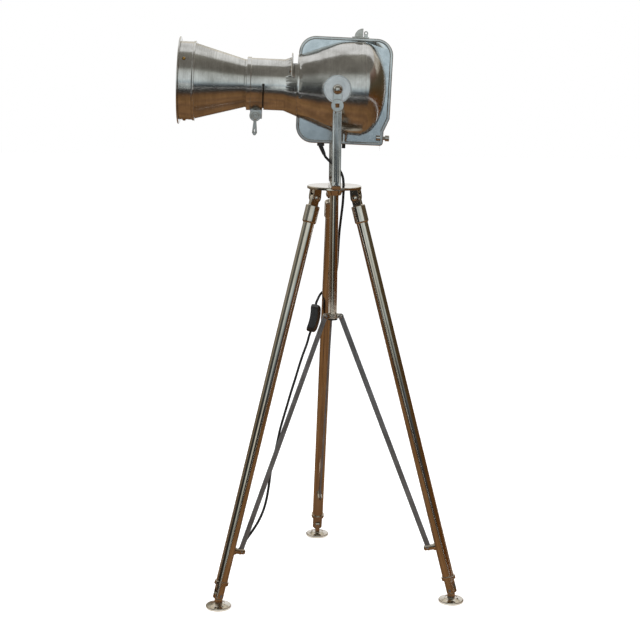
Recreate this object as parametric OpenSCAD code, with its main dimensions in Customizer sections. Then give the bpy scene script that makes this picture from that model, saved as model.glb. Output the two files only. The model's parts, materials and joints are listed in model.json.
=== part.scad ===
// Tripod spotlight floor lamp: an aluminium profile spotlight in a yoke, on a folding nickel tripod.
// Millimetres, Z up, the lens points to -X. The origin lies under the centre of the box, on the floor.

/* [Tripod] */
// Height of the foot pivots above the floor
foot_pivot_h = 28; // [26:0.5:34]
// Length of a leg from its hinge to its foot pivot
leg_len = 894; // [800:1:960]
// Angle of the legs from the vertical
leg_angle = 16; // [13:0.5:18]
// Distance of the leg hinges from the column axis
hinge_r = 52; // [50:0.5:58]
// Direction of the front-left leg
leg_azimuth = 214; // [212:1:216]
// Outer diameter of the leg tubes
leg_d = 25.4; // [22:0.1:27]
// Wall of the leg and column tubes
tube_wall = 1.5; // [1.2:0.1:2.5]
// Outer diameter of the column tube
column_d = 19.05; // [16:0.05:20]
// Diameter of the head plate
plate_d = 120; // [112:1:130]
// Thickness of the head plate
plate_t = 6; // [5:0.5:9]
// Height of the plate's underside above the hinges
plate_rise = 18.5; // [17:0.5:22]
// Height of the conical boss under the plate
boss_h = 15.5; // [14:0.5:20]
// Diameter of the boss where it meets the plate
boss_d = 44; // [40:1:50]
// Diameter of the boss at its lower end
boss_low_d = 28; // [26:1:32]
// Thickness of each cheek of a leg hinge
cheek_t = 4.5; // [3.5:0.5:6]
// Thickness of the tongue at a leg's top
tongue_t = 9.6; // [8:0.2:10]
// Width of that tongue
tongue_w = 20; // [17:0.5:21]
// Diameter of the leg hinge bolts
leg_bolt_d = 7.8; // [6:0.1:9]
// Outer diameter of the top sleeve and the lower ring
sleeve_d = 31; // [29:0.5:34]
// Length of the top sleeve
sleeve_len = 39; // [32:1:46]
// Diameter of the foot discs
foot_d = 55.6; // [48:0.2:64]
// Thickness of the foot discs at their rim
foot_t = 6; // [5:0.5:8]
// Thickness of the foot tongue
foot_tongue_t = 9.8; // [8:0.2:10.4]
// Diameter of the foot pivot pins
foot_pin_d = 6; // [5:0.5:7]

/* [Spider and braces] */
// Height of the spider above the floor
spider_z = 622; // [600:1:640]
// Height of the spider's collar
spider_h = 8; // [7:0.5:12]
// Distance of the brace pins from the column axis
spider_pin_r = 20; // [19.5:0.5:24]
// Diameter of the spider pins
spider_pin_d = 3.8; // [3:0.2:4.4]
// Width of the flat braces
brace_w = 12; // [10:0.5:12.5]
// Thickness of the flat braces
brace_t = 3; // [2.5:0.1:3.4]
// Height of a brace stub above the foot pivot, along the leg
stub_rise = 101; // [90:1:140]
// Diameter of the brace stubs
stub_d = 12.5; // [10:0.5:14]
// Distance of the stub pin from the leg axis
stub_pin_out = 30; // [28:0.5:36]
// Diameter of the stub pins
stub_pin_d = 4; // [3:0.2:4.4]

/* [Yoke] */
// Rise of the tilt axis over the head plate
tilt_rise = 211.4; // [206:0.1:230]
// Nose-up tilt of the head at rest
head_tilt = 2; // [0:0.5:5]
// Distance between the yoke's arms
yoke_gap = 210; // [210:0.5:216]
// Thickness of the yoke's strap
yoke_t = 6; // [5:0.5:8]
// Width of the yoke's arms
arm_w = 19; // [16:0.5:20]
// Width of the yoke's crossbar
crossbar_w = 21; // [19:0.5:22]
// Distance of the eye boss below the tilt axis
eye_drop = 33.4; // [30:0.2:44]
// Diameter of the eye boss
eye_d = 26.5; // [24:0.5:30]
// Diameter of the pan bolt
pan_bolt_d = 9.8; // [8:0.2:10.8]
// Diameter of the tilt bolts
tilt_bolt_d = 9.8; // [8:0.2:11]

/* [Lamphouse] */
// Wall of the die castings
cast_wall = 3; // [2.4:0.1:3.6]
// Radius of the castings at their mouth
mouth_r = 66; // [64:0.5:68]
// Radius of the hole in the mouth
mouth_hole_r = 48; // [44:0.5:50]
// Radius of the castings at the shoulder
shoulder_r = 86; // [84:0.5:88]
// Distance of the shoulder before the tilt axis
shoulder_x = 27.7; // [24:0.1:32]
// Radius of the castings at the swell
swell_r = 97.4; // [95:0.2:98.6]
// Distance of the swell behind the tilt axis
swell_x = 11.2; // [8:0.2:16]
// Radius of the lamphouse at its seam
dome_r = 100.6; // [98:0.2:101]
// Radius of the lamphouse behind the seam
dome_rear_r = 98; // [95:0.5:98.5]
// Distance of the seam behind the tilt axis
seam_x = 59; // [54:1:66]
// Depth of the domed end behind the seam
dome_depth = 49.5; // [46:0.5:54]
// Front of the lamphouse, before the tilt axis
house_front = 84; // [82:0.5:88]
// Front edge of the flange, before the tilt axis
flange_front = 82.6; // [80:0.2:83.6]
// Rear edge of the flange
flange_rear = 119.7; // [116:0.1:126]
// Lower edge of the flange, below the tilt axis
flange_low = 120.6; // [118:0.2:122]
// Upper edge of the flange, above the tilt axis
flange_top = 107.5; // [106.5:0.5:114]
// Thickness of the flange panel on each side of the seam
panel_t = 3; // [2.5:0.1:4]
// Height of the flange rim on each side of the seam
rim_h = 6.5; // [5.5:0.1:8]
// Width of the flange rim
rim_w = 6.5; // [6:0.1:9]
// Radius of the flange corners
corner_r = 36; // [30:0.5:38]
// Diameter of the tilt bosses and discs
tilt_disc_d = 53; // [46:0.5:56]
// Thickness of the tilt discs
tilt_disc_t = 3.6; // [3:0.1:3.9]

/* [Nozzle and lens tube] */
// Outer diameter of the nozzle
nozzle_d = 110; // [109:0.5:114]
// Wall of the nozzle
nozzle_wall = 3.4; // [3:0.1:3.6]
// Front of the nozzle, before the tilt axis
nozzle_front = 192; // [189:0.5:193]
// Where the nozzle begins to flare
flare_start = 112; // [109:0.5:116]
// Radius of the lip before the gate slot
lip_r = 69.5; // [68:0.5:74]
// Height above the axis at which the gate slot ends
slot_low = 46.7; // [44:0.5:52]
// Depth of the clamp lugs' lower end below the axis
lug_low = 74; // [72:0.5:78]
// Width of the saw cut between the clamp lugs
saw_w = 4; // [2:0.5:5]
// Thickness of each clamp lug
lug_t = 8; // [6:0.5:10]
// Diameter of the clamp bolt
clamp_bolt_d = 6; // [5:0.2:7]
// Small radius of the lens cone
cone_small_r = 51.2; // [50.6:0.1:51.3]
// Large radius of the lens cone
cone_large_r = 80; // [74:0.5:80.5]
// Where the cone begins
cone_start = 196; // [195:0.5:200]
// Where the cone ends
cone_end = 300; // [290:1:302]
// Wall of the lens cone
cone_wall = 2; // [1.5:0.1:2.5]
// Radius of the front band
band_r = 83.5; // [82.5:0.1:86]
// Front end of the band
band_front = 335; // [333:0.5:342]
// Radius of the front ring
ring_r = 93; // [89:0.5:98]
// Thickness of the front ring
ring_t = 3; // [2:0.5:5]
// Travel of the lens tube
focus_travel = 35; // [20:1:40]
// Length of its tail that stays in the nozzle at full travel
tube_hold = 22; // [18:1:30]

/* [Light source] */
// Diameter of the bulb
bulb_d = 60; // [50:1:64]
// Width of the gate's opening
gate_w = 44; // [36:1:60]
// Height of the gate's opening
gate_h = 34; // [28:1:50]
// Diameter of the lampholder
holder_d = 36; // [32:1:42]
// Width of the lamp tray
tray_w = 60; // [56:1:62]

/* [Hidden] */
FRONT_LEFT = 0;
FRONT_RIGHT = 1;
REAR = 2;
NEAR = -1;
FAR = 1;
fit = 0.1;              // radial clearance of a bolt or pin in its hole
gap = 0.3;              // side clearance between pieces that turn past each other
eps = 1;                // how far a cut runs past a face
round_n = 96;           // segments of the large round pieces
small_n = 48;           // segments of the small round pieces
arc_n = 10;             // steps of a round corner

// Tripod heights and radii that follow from the sizes above
hinge_z = foot_pivot_h + leg_len * cos(leg_angle);
plate_z = hinge_z + plate_rise;
plate_top = plate_z + plate_t;
tilt_h = plate_top + tilt_rise;
foot_r = hinge_r + leg_len * sin(leg_angle);
column_grip = boss_h - 3.5;
column_low = spider_z - spider_h / 2 - 3;
hinge_eye_r = 10;
cheek_y = tongue_t / 2 + gap;
tube_seat = 28;
sleeve_from = 17;
ring_h = 8;
ring_from = leg_len - 32;
fork_r = 11.5;
fork_low = 9;
fork_slot_rise = 14;
stub_end = stub_pin_out + 9;
stub_slot_from = stub_pin_out - 12.5;
stub_slot_w = brace_t + 2 * gap;
stub_at = leg_len - stub_rise;
// The pin of a brace stub, in the leg's upright plane: distance from the column axis, and height
stub_pin_r = foot_r - stub_rise * sin(leg_angle) - stub_pin_out * cos(leg_angle);
stub_pin_z = foot_pivot_h + stub_rise * cos(leg_angle) - stub_pin_out * sin(leg_angle);
brace_len = norm([stub_pin_r - spider_pin_r, spider_z - stub_pin_z]);
brace_angle = atan2(stub_pin_r - spider_pin_r, spider_z - stub_pin_z);

// The box of the lamp without its cord, from which the origin is set
box_left = -((band_front + ring_t) * cos(head_tilt) + ring_r * sin(head_tilt));
box_right = foot_r * cos(leg_azimuth + 120) + foot_d / 2;
box_front = foot_r * sin(leg_azimuth) - foot_d / 2;
box_back = foot_r * sin(leg_azimuth + 240) + foot_d / 2;
centre_x = (box_left + box_right) / 2;
centre_y = (box_front + box_back) / 2;

function leg_direction(i) = leg_azimuth + 120 * i;
function arc_points(c, r, from, to, steps = arc_n) =
    [for (i = [0:steps]) c + r * [cos(from + (to - from) * i / steps), sin(from + (to - from) * i / steps)]];
function unit(v) = v / norm(v);

module centred() translate([-centre_x, -centre_y, 0]) children();
module leg_plane(i) centred() rotate([0, 0, leg_direction(i)]) children();
// Leg frame: origin at the hinge, -Z down the leg, +X outward
module leg_frame(i) leg_plane(i) translate([hinge_r, 0, hinge_z]) rotate([0, -leg_angle, 0]) children();
// Head frame: origin at the tilt axis, -X to the lens, tilted as at rest
module head_frame() centred() translate([0, 0, tilt_h]) rotate([0, head_tilt, 0]) children();
// An upright plate across Y with an outline in X and Z
module slab(outline, t) rotate([90, 0, 0]) linear_extrude(t, center = true) polygon(outline);
module rod_y(d, length) rotate([90, 0, 0]) cylinder(h = length, d = d, center = true, $fn = small_n);
module rod_x(d, from, to) translate([from, 0, 0]) rotate([0, 90, 0])
    cylinder(h = to - from, d = d, $fn = small_n);
module ring(r_out, r_in, h) difference() {
    cylinder(h = h, r = r_out, $fn = round_n);
    translate([0, 0, -eps]) cylinder(h = h + 2 * eps, r = r_in, $fn = round_n);
}
// A low dome on the XY plane
module dome(r, h) rotate_extrude($fn = small_n)
    polygon(concat([[0, 0]], [for (a = [0:15:90]) [r * cos(a), h * sin(a)]]));
// A solid of revolution about X, from an outline in radius and X
module turned(outline, angle = 360) rotate([0, 90, 0]) rotate_extrude(angle = angle, $fn = round_n)
    polygon(outline);

// ---- Tripod head ----

cheek_outline = concat(arc_points([0, 0], hinge_eye_r, 180, 360),
    [[hinge_eye_r, 4], [7, plate_rise + eps], [-12, plate_rise + eps]]);
cord_hole = [20.5, 5];
cord_hole_d = 9;

module head_plate() color("silver") centred() difference() {
    union() {
        translate([0, 0, plate_z]) rotate_extrude($fn = round_n) polygon([[0, 0], [plate_d / 2, 0],
            [plate_d / 2, plate_t - 1.5], [plate_d / 2 - 1.5, plate_t], [0, plate_t]]);
        translate([0, 0, plate_z - boss_h])
            cylinder(h = boss_h + eps, d1 = boss_low_d, d2 = boss_d, $fn = round_n);
        for (i = [0:2], side = [NEAR, FAR]) rotate([0, 0, leg_direction(i)])
            translate([hinge_r, side * (cheek_y + cheek_t / 2), hinge_z]) slab(cheek_outline, cheek_t);
    }
    translate([0, 0, plate_z - boss_h - eps])
        cylinder(h = column_grip + eps, d = column_d + fit, $fn = small_n);
    translate([0, 0, plate_z - boss_h])
        cylinder(h = boss_h + plate_t + eps, d = pan_bolt_d + fit, $fn = small_n);
    translate([cord_hole.x, cord_hole.y, plate_z - boss_h - eps])
        cylinder(h = boss_h + plate_t + 2 * eps, d = cord_hole_d, $fn = small_n);
    for (i = [0:2]) rotate([0, 0, leg_direction(i)]) translate([hinge_r, 0, hinge_z])
        rod_y(leg_bolt_d + fit, 2 * (cheek_y + cheek_t) + eps);
}

module centre_column() color("gainsboro") centred() translate([0, 0, column_low])
    ring(column_d / 2, column_d / 2 - tube_wall, plate_z - boss_h + column_grip - column_low);

module column_cap() color("gray") centred() {
    translate([0, 0, column_low - 3]) cylinder(h = 3, d = column_d + 3, $fn = small_n);
    translate([0, 0, column_low]) cylinder(h = 12, d = column_d - 2 * tube_wall - fit, $fn = small_n);
}

washer_z = plate_top + yoke_t + fit / 2;
pan_washer_t = 1.5;

module pan_bolt() color("silver") centred() {
    translate([0, 0, plate_z - 2]) cylinder(h = washer_z - plate_z + 2, d = pan_bolt_d, $fn = small_n);
    translate([0, 0, washer_z]) cylinder(h = pan_washer_t, d = 20, $fn = small_n);
    translate([0, 0, washer_z + pan_washer_t]) cylinder(h = 7, d = 18, $fn = 6);
}

module leg_bolts() color("silver") for (i = [0:2]) leg_plane(i) translate([hinge_r, 0, hinge_z]) {
    rod_y(leg_bolt_d, 2 * (cheek_y + cheek_t));
    for (side = [NEAR, FAR]) translate([0, side * (cheek_y + cheek_t), 0])
        rotate([side * -90, 0, 0]) dome(7, 4);
}

// ---- Legs ----

module leg_tube(i) color("gainsboro") leg_frame(i) translate([0, 0, -ring_from])
    ring(leg_d / 2, leg_d / 2 - tube_wall, ring_from - tube_seat);

tongue_outline = concat(arc_points([0, 0], tongue_w / 2, 0, 180),
    [[-tongue_w / 2, -sleeve_from - eps], [tongue_w / 2, -sleeve_from - eps]]);

module leg_top(i) color("silver") leg_frame(i) difference() {
    union() {
        slab(tongue_outline, tongue_t);
        translate([0, 0, -sleeve_from - sleeve_len]) rotate_extrude($fn = round_n) polygon([[0, 0],
            [sleeve_d / 2 - 2, 0], [sleeve_d / 2, 3], [sleeve_d / 2, sleeve_len - 1.5],
            [sleeve_d / 2 - 1.5, sleeve_len], [0, sleeve_len]]);
    }
    rod_y(leg_bolt_d + 2 * fit, tongue_t + eps);
    translate([0, 0, -sleeve_from - sleeve_len - eps])
        cylinder(h = sleeve_from + sleeve_len + eps - tube_seat, d = leg_d + fit, $fn = round_n);
}

module leg_end(i) color("silver") leg_frame(i) translate([0, 0, -leg_len]) difference() {
    union() {
        translate([0, 0, leg_len - ring_from]) cylinder(h = 20, d = leg_d - 2 * tube_wall - fit, $fn = small_n);
        translate([0, 0, leg_len - ring_from - ring_h]) cylinder(h = ring_h, d = sleeve_d, $fn = round_n);
        translate([0, 0, -fork_low]) rotate_extrude($fn = small_n) polygon([[0, 0], [fork_r - 2.5, 0],
            [fork_r, 3], [fork_r, leg_len - ring_from - ring_h + fork_low + eps],
            [0, leg_len - ring_from - ring_h + fork_low + eps]]);
    }
    translate([-fork_r - eps, -foot_tongue_t / 2 - gap, -fork_low - eps])
        cube([2 * (fork_r + eps), foot_tongue_t + 2 * gap, fork_low + fork_slot_rise + eps]);
    rod_y(foot_pin_d + fit, 2 * fork_r + 2 * eps);
}

module brace_stub(i) color("silver") leg_frame(i) translate([0, 0, -stub_at]) difference() {
    union() {
        rod_x(stub_d, -stub_end, -leg_d / 4);
        rod_x(stub_d + 4, -leg_d / 2 - 3, -leg_d / 4);
    }
    cylinder(h = stub_d + 6, d = leg_d + fit / 2, center = true, $fn = round_n);
    translate([-stub_end - eps, -stub_slot_w / 2, -stub_d / 2 - eps])
        cube([stub_end - stub_slot_from + eps, stub_slot_w, stub_d + 2 * eps]);
    translate([-stub_pin_out, 0, 0]) rod_y(stub_pin_d + fit, stub_d + 2 * eps);
}

module leg_pins(i) color("silver") leg_frame(i) {
    translate([0, 0, -leg_len]) rod_y(foot_pin_d, 2 * fork_r - 1);
    translate([-stub_pin_out, 0, -stub_at]) rod_y(stub_pin_d, stub_d - 1);
}

module foot(i) color("silver") leg_plane(i) translate([foot_r, 0, 0]) difference() {
    union() {
        rotate_extrude($fn = round_n) polygon([[0, 0], [foot_d / 2 - 1, 0], [foot_d / 2, 1],
            [foot_d / 2, foot_t - 1], [foot_d / 2 - 1.2, foot_t], [16, foot_t + 1.2], [13, foot_t + 3],
            [0, foot_t + 3]]);
        translate([0, 0, foot_pivot_h]) slab(concat(arc_points([0, 0], 7.5, 0, 180),
            [[-7.5, foot_t - foot_pivot_h], [7.5, foot_t - foot_pivot_h]]), foot_tongue_t);
    }
    translate([0, 0, foot_pivot_h]) rod_y(foot_pin_d + 2 * fit, foot_tongue_t + eps);
}

// ---- Spider and braces ----

collar_r = spider_pin_r - brace_w / 2 - 2 * gap;
ear_t = 2.8;
ear_y = brace_t / 2 + gap;
ear_r = spider_h / 2 + 1;

module spider() color("silver") centred() translate([0, 0, spider_z]) difference() {
    union() {
        translate([0, 0, -spider_h / 2]) cylinder(h = spider_h, r = collar_r, $fn = round_n);
        for (i = [0:2], side = [NEAR, FAR]) rotate([0, 0, leg_direction(i)])
            translate([0, side * (ear_y + ear_t / 2), 0]) slab(concat(
                arc_points([spider_pin_r, 0], ear_r, -90, 90),
                [[collar_r - 3, ear_r], [collar_r - 3, -ear_r]]), ear_t);
    }
    cylinder(h = spider_h + 2 * eps, d = column_d + 3 * fit, center = true, $fn = small_n);
    for (i = [0:2]) rotate([0, 0, leg_direction(i)]) translate([spider_pin_r, 0, 0])
        rod_y(spider_pin_d + fit, 2 * (ear_y + ear_t) + eps);
}

module spider_pins() color("gray") for (i = [0:2]) leg_plane(i) translate([spider_pin_r, 0, spider_z]) {
    rod_y(spider_pin_d, 2 * (ear_y + ear_t));
    for (side = [NEAR, FAR]) translate([0, side * (ear_y + ear_t), 0])
        rotate([side * -90, 0, 0]) dome(3, 1.2);
}

// The lower eye is a slot, because the spider's slide and the leg's fold don't keep an exact distance
slot_half_w = stub_pin_d / 2 + 1.1;
slot_half_len = 1.7;

module brace(i) color("dimgray") leg_plane(i) translate([spider_pin_r, 0, spider_z])
    rotate([0, 90 - brace_angle, 0]) difference() {
        slab(concat(arc_points([0, 0], brace_w / 2, 90, 270),
            arc_points([brace_len + 1, 0], brace_w / 2, -90, 90)), brace_t);
        rod_y(spider_pin_d + 2 * fit, brace_t + eps);
        slab(concat(arc_points([brace_len - slot_half_len, 0], slot_half_w, 90, 270),
            arc_points([brace_len + slot_half_len, 0], slot_half_w, -90, 90)), brace_t + eps);
    }

// ---- Yoke ----

bend_r = 12;
arm_out = yoke_gap / 2 + yoke_t;
arm_end_r = 10;
// The strap's U, in Y and Z from the tilt axis
function strap_outline(inset) = let (low = inset - tilt_rise, w = arm_out - inset, r = bend_r - inset)
    concat([[-w, 0]], arc_points([-w + r, low + r], r, 180, 270), arc_points([w - r, low + r], r, 270, 360),
        [[w, 0]]);
module strap_section(outline, width) rotate([90, 0, 90]) linear_extrude(width, center = true) polygon(outline);

module yoke() color("lightgray") centred() translate([0, 0, tilt_h]) difference() {
    union() {
        difference() {
            strap_section(strap_outline(0), arm_w);
            strap_section(concat(strap_outline(yoke_t), [[arm_out - yoke_t, eps], [yoke_t - arm_out, eps]]),
                arm_w + eps);
        }
        translate([-crossbar_w / 2, -arm_out + bend_r + 4, -tilt_rise])
            cube([crossbar_w, 2 * (arm_out - bend_r - 4), yoke_t]);
        for (side = [NEAR, FAR]) {
            translate([0, side * (arm_out - yoke_t / 2), 0]) rod_y(2 * arm_end_r, yoke_t);
            translate([0, side * (arm_out - yoke_t / 2 + 0.6), -eye_drop]) rod_y(eye_d, yoke_t + 1.2);
        }
    }
    for (side = [NEAR, FAR]) {
        translate([0, side * (arm_out - yoke_t / 2), 0]) rod_y(tilt_bolt_d + 3 * fit, yoke_t + eps);
        translate([-4, side * (arm_out - yoke_t / 2) - yoke_t, -eye_drop - 4]) cube([8, 2 * yoke_t, 8]);
        for (x = [-5.4, 2.4]) translate([x, side * arm_out - 1.2, -tilt_rise + bend_r + 6])
            cube([3, 2.4, tilt_rise - eye_drop - eye_d / 2 - bend_r - 9]);
    }
    translate([0, 0, -tilt_rise - eps]) cylinder(h = yoke_t + 2 * eps, d = pan_bolt_d + 3 * fit, $fn = small_n);
}

// ---- Lamphouse ----

boss_top = yoke_gap / 2 - tilt_disc_t - fit;
notch_x = flange_rear - 11.7;
notch_r = 7.5;
// The flange's edge in X and Z, drawn in by a distance
function flange_outline(inset) = let (r = max(notch_r - inset, 4)) concat(
    arc_points([corner_r - flange_front, flange_top - corner_r], corner_r - inset, 90, 180),
    arc_points([corner_r - flange_front, corner_r - flange_low], corner_r - inset, 180, 270),
    arc_points([notch_x - inset - r, inset + r - flange_low], r, 270, 360, 4),
    [[notch_x - inset, -90 + inset / 3], [flange_rear - inset, -62 + inset / 3]],
    arc_points([flange_rear - corner_r, flange_top - corner_r], corner_r - inset, 0, 90));
dome_outer = concat([[0, -house_front], [mouth_r, -house_front], [mouth_r, -house_front + cast_wall + 1],
    [shoulder_r, -shoulder_x], [swell_r, swell_x], [dome_r, seam_x], [dome_rear_r, seam_x]],
    [for (a = [7.5:7.5:90]) [dome_rear_r * cos(a), seam_x + dome_depth * sin(a)]]);
dome_inner = concat([[0, -house_front - eps], [mouth_hole_r, -house_front - eps],
    [mouth_hole_r, -house_front + cast_wall], [mouth_r - cast_wall, -house_front + cast_wall],
    [shoulder_r - cast_wall, -shoulder_x], [swell_r - cast_wall, swell_x], [dome_rear_r - cast_wall, seam_x]],
    [for (a = [7.5:7.5:90])
        [(dome_rear_r - cast_wall) * cos(a), seam_x + (dome_depth - cast_wall) * sin(a)]]);
screw_d = 3.2;
rim_mid = rim_w / 2 + 0.1;
screw_places = [[rim_mid - flange_front, 71], [rim_mid - flange_front, -76], [-30, rim_mid - flange_low],
    [70, rim_mid - flange_low], [flange_rear - rim_mid, 0], [60, flange_top - rim_mid], [0, flange_top - rim_mid]];
knob_hole = [23, -flange_low];
tray_hole_z = -104;

module tray_ledge() intersection() {
    translate([tray_from, tray_w / 2 - 5, tray_z - 4]) cube([post_x - tray_from, dome_r, 4]);
    turned([[0, -shoulder_x], [shoulder_r - cast_wall / 2, -shoulder_x], [swell_r - cast_wall / 2, swell_x],
        [dome_r - cast_wall / 2, seam_x], [0, seam_x]]);
}

module housing_half(side) color("silver") head_frame() mirror([0, side == NEAR ? 1 : 0, 0]) {
    housing_shell(side);
    tray_ledge();
}

module housing_shell(side) difference() {
    union() {
        difference() {
            turned(dome_outer, 180);
            translate([-house_front - eps, -eps, -2 * dome_r]) cube([3 * dome_r, eps, 4 * dome_r]);
        }
        difference() {
            translate([0, rim_h / 2, 0]) slab(flange_outline(0), rim_h);
            translate([0, panel_t + rim_h / 2, 0]) slab(flange_outline(rim_w), rim_h);
        }
        intersection() {
            translate([0, boss_top / 2, 0]) rod_y(tilt_disc_d + 6, boss_top);
            translate([-dome_r, 60, -dome_r]) cube(2 * dome_r);
        }
        translate([notch_x - 16, 0, tray_hole_z]) rod_x_half(13, 0, 16);
        translate([knob_hole.x, 0, knob_hole.y]) cylinder_half(13, 22);
    }
    turned(dome_inner);
    translate([0, boss_top, 0]) rod_y(tilt_bolt_d + fit, 50);
    translate([notch_x - 17, 0, tray_hole_z]) rod_x(5.2, 0, 20);
    translate([knob_hole.x, 0, knob_hole.y - eps]) cylinder(h = 20, d = 4.2, $fn = small_n);
    for (p = screw_places) translate([p.x, 0, p.y]) rod_y(screw_d + fit, side == FAR ? 4 * rim_h : 10.6);
}
module rod_x_half(d, from, to) intersection() {
    rod_x(d, from, to);
    translate([from, 0, -d]) cube([to - from, d, 2 * d]);
}
module cylinder_half(d, h) intersection() {
    cylinder(h = h, d = d, $fn = small_n);
    translate([-d, 0, 0]) cube([2 * d, d, h]);
}

module housing_screws() color("gray") head_frame() for (p = screw_places) translate([p.x, 0, p.y]) {
    translate([0, (rim_h - 5) / 2, 0]) rod_y(screw_d, rim_h + 5);
    translate([0, rim_h, 0]) rotate([-90, 0, 0]) dome(3.1, 2);
}

// ---- Nozzle ----

nozzle_r = nozzle_d / 2;
nozzle_bore = nozzle_r - nozzle_wall;
flare_r = 65.6;
slot_front = house_front + 10.5;
lug_from = nozzle_front - 35;
lug_to = nozzle_front - 9;
bolt_z = -lug_low + 6.8;
cut_w = 2.4;
bolt_x = -(lug_from + lug_to) / 2 - 1.5;

module nozzle() color("silver") head_frame() difference() {
    union() {
        turned([[0, -nozzle_front], [nozzle_r + 2, -nozzle_front], [nozzle_r + 2, -lug_to], [nozzle_r, -lug_to],
            [nozzle_r, -flare_start], [flare_r, -house_front], [0, -house_front]]);
        intersection() {
            turned([[0, -slot_front - 3], [lip_r, -slot_front - 3], [lip_r, -slot_front], [0, -slot_front]]);
            translate([-slot_front - 5, -lip_r, 20]) cube([8, 2 * lip_r, lip_r]);
        }
        translate([-lug_to, -saw_w / 2 - lug_t, -lug_low]) cube([lug_to - lug_from, saw_w + 2 * lug_t,
            lug_low - nozzle_r + 4]);
    }
    turned([[0, -nozzle_front - eps], [nozzle_bore, -nozzle_front - eps], [nozzle_bore, -flare_start],
        [flare_r - nozzle_wall - 1, -house_front + eps], [0, -house_front + eps]]);
    translate([-slot_front, -2 * nozzle_r, slot_low])
        cube([slot_front - house_front + eps, 4 * nozzle_r, nozzle_r]);
    translate([-nozzle_front - eps, -saw_w / 2, -lug_low - eps])
        cube([nozzle_front - lug_from + 2, saw_w, lug_low - nozzle_bore / 2]);
    translate([-lug_from, -2 * nozzle_r, -2 * nozzle_r]) cube([cut_w, 4 * nozzle_r, 2 * nozzle_r]);
    translate([cut_w / 2 - lug_from, 0, 0]) rod_y(2 * cut_w, 4 * nozzle_r);
    translate([bolt_x, 0, bolt_z]) rod_y(clamp_bolt_d + fit, 4 * lug_t);
}

lug_face = saw_w / 2 + lug_t;
nut_base_t = 3.5;
nut_hub_t = 9;

module clamp_bolt() color("silver") head_frame() translate([bolt_x, 0, bolt_z]) {
    translate([0, -(nut_base_t + nut_hub_t + 2) / 2, 0])
        rod_y(clamp_bolt_d, 2 * lug_face + nut_base_t + nut_hub_t + 2);
    translate([0, lug_face, 0]) rotate([-90, 0, 0]) cylinder(h = 4, d = 11, $fn = 6);
}

blade_drop = 38;

module wing_nut() color("silver") head_frame() translate([bolt_x, -lug_face, bolt_z]) difference() {
    union() {
        rotate([90, 0, 0]) cylinder(h = nut_base_t, d = 25, $fn = small_n);
        rotate([90, 0, 0]) cylinder(h = nut_base_t + nut_hub_t, d = 15, $fn = small_n);
        for (side = [-1, 1]) translate([0, -nut_base_t - nut_hub_t / 2, 0]) rotate([0, side * 7, 0])
            slab([[-3 + side, 0], [3 + side, 0], [2 + side, -blade_drop], [-2 + side, -blade_drop]], 4.5);
        translate([0, -nut_base_t - nut_hub_t / 2, -blade_drop]) rod_y(8, 6);
    }
    translate([0, -nut_base_t - nut_hub_t / 2, 0]) rod_y(clamp_bolt_d + 2 * fit, 4 * nut_hub_t);
}

// ---- Fittings of the lamphouse ----

module tilt_discs() color("white") head_frame() for (side = [NEAR, FAR])
    translate([0, side * (boss_top + tilt_disc_t / 2), 0]) difference() {
        rod_y(tilt_disc_d, tilt_disc_t);
        rod_y(tilt_bolt_d + fit, tilt_disc_t + eps);
    }

module tilt_bolts() color("silver") head_frame() for (side = [NEAR, FAR]) translate([0, side * arm_out, 0]) {
    translate([0, -side * 12, 0]) rod_y(tilt_bolt_d, 24);
    translate([0, side * 1, 0]) rod_y(21, 2);
    translate([0, side * 2, 0]) rotate([side * -90, 0, 0]) dome(9.5, 8);
}

gate_x = cast_wall - house_front;

module gate_plate() color("dimgray") head_frame() difference() {
    rod_x(2 * (mouth_r - cast_wall) - 6, gate_x, gate_x + 2);
    translate([gate_x - eps, -gate_w / 2, -gate_h / 2]) cube([2 + 2 * eps, gate_w, gate_h]);
}

tray_z = -78;
tray_t = 2.5;
lamp_x = 12;
socket_top = -36;

dish_r = bulb_d / 2 + 12;
dish_t = 1.5;
post_x = lamp_x + dish_r + dish_t + 3;
tray_from = lamp_x - holder_d / 2 - 4;

module lamp_tray() color("gray") head_frame() {
    difference() {
        translate([tray_from, -tray_w / 2, tray_z]) cube([post_x + 2.5 - tray_from, tray_w, tray_t]);
        translate([lamp_x, 0, tray_z - eps]) cylinder(h = tray_t + 2 * eps, d = 8, $fn = small_n);
    }
    translate([post_x, -12, tray_z + tray_t - eps]) cube([2.5, 24, 12 - tray_z - tray_t]);
}

module reflector() color("white") head_frame() translate([lamp_x, 0, 0]) turned(concat(
    [[0, post_x - lamp_x], [9, post_x - lamp_x]],
    [for (a = [12:8:52]) (dish_r + dish_t) * [sin(a), cos(a)]],
    [for (a = [52:-8:4]) dish_r * [sin(a), cos(a)]], [[0, dish_r]]));

module lampholder() color("ivory") head_frame() translate([lamp_x, 0, tray_z + tray_t]) {
    cylinder(h = 6, d = holder_d + 6, $fn = small_n);
    difference() {
        translate([0, 0, 6]) cylinder(h = socket_top - tray_z - tray_t - 6, d = holder_d, $fn = small_n);
        translate([0, 0, 14]) cylinder(h = 60, d = holder_d - 8, $fn = small_n);
    }
}

module bulb() color("lightyellow") head_frame() translate([lamp_x, 0, 0]) rotate_extrude($fn = round_n)
    polygon(concat([[0, -60], [13, -60], [13, -34], [17, -28]],
        [for (a = [-45:15:90]) bulb_d / 2 * [cos(a), sin(a)]]));

module top_catch() color("gray") head_frame() translate([0, 0, flange_top]) difference() {
    union() {
        translate([30, -5, 0]) cube([36, 10, 2.5]);
        translate([0, 0, 2]) slab(concat([[53, 0]], arc_points([53, 0], 18, 90, 180)), 5);
        translate([0, 0, 2]) slab(concat([[55, 0]], [[63, 0]], arc_points([59, 8.5], 4.5, 0, 180)), 6);
    }
    translate([59, 0, 10.5]) rod_y(4, 12);
}

gland_x = -27;
gland_h = 6;
relief_len = 20;
relief_angle = 26;
cord_d = 5.6;

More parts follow.
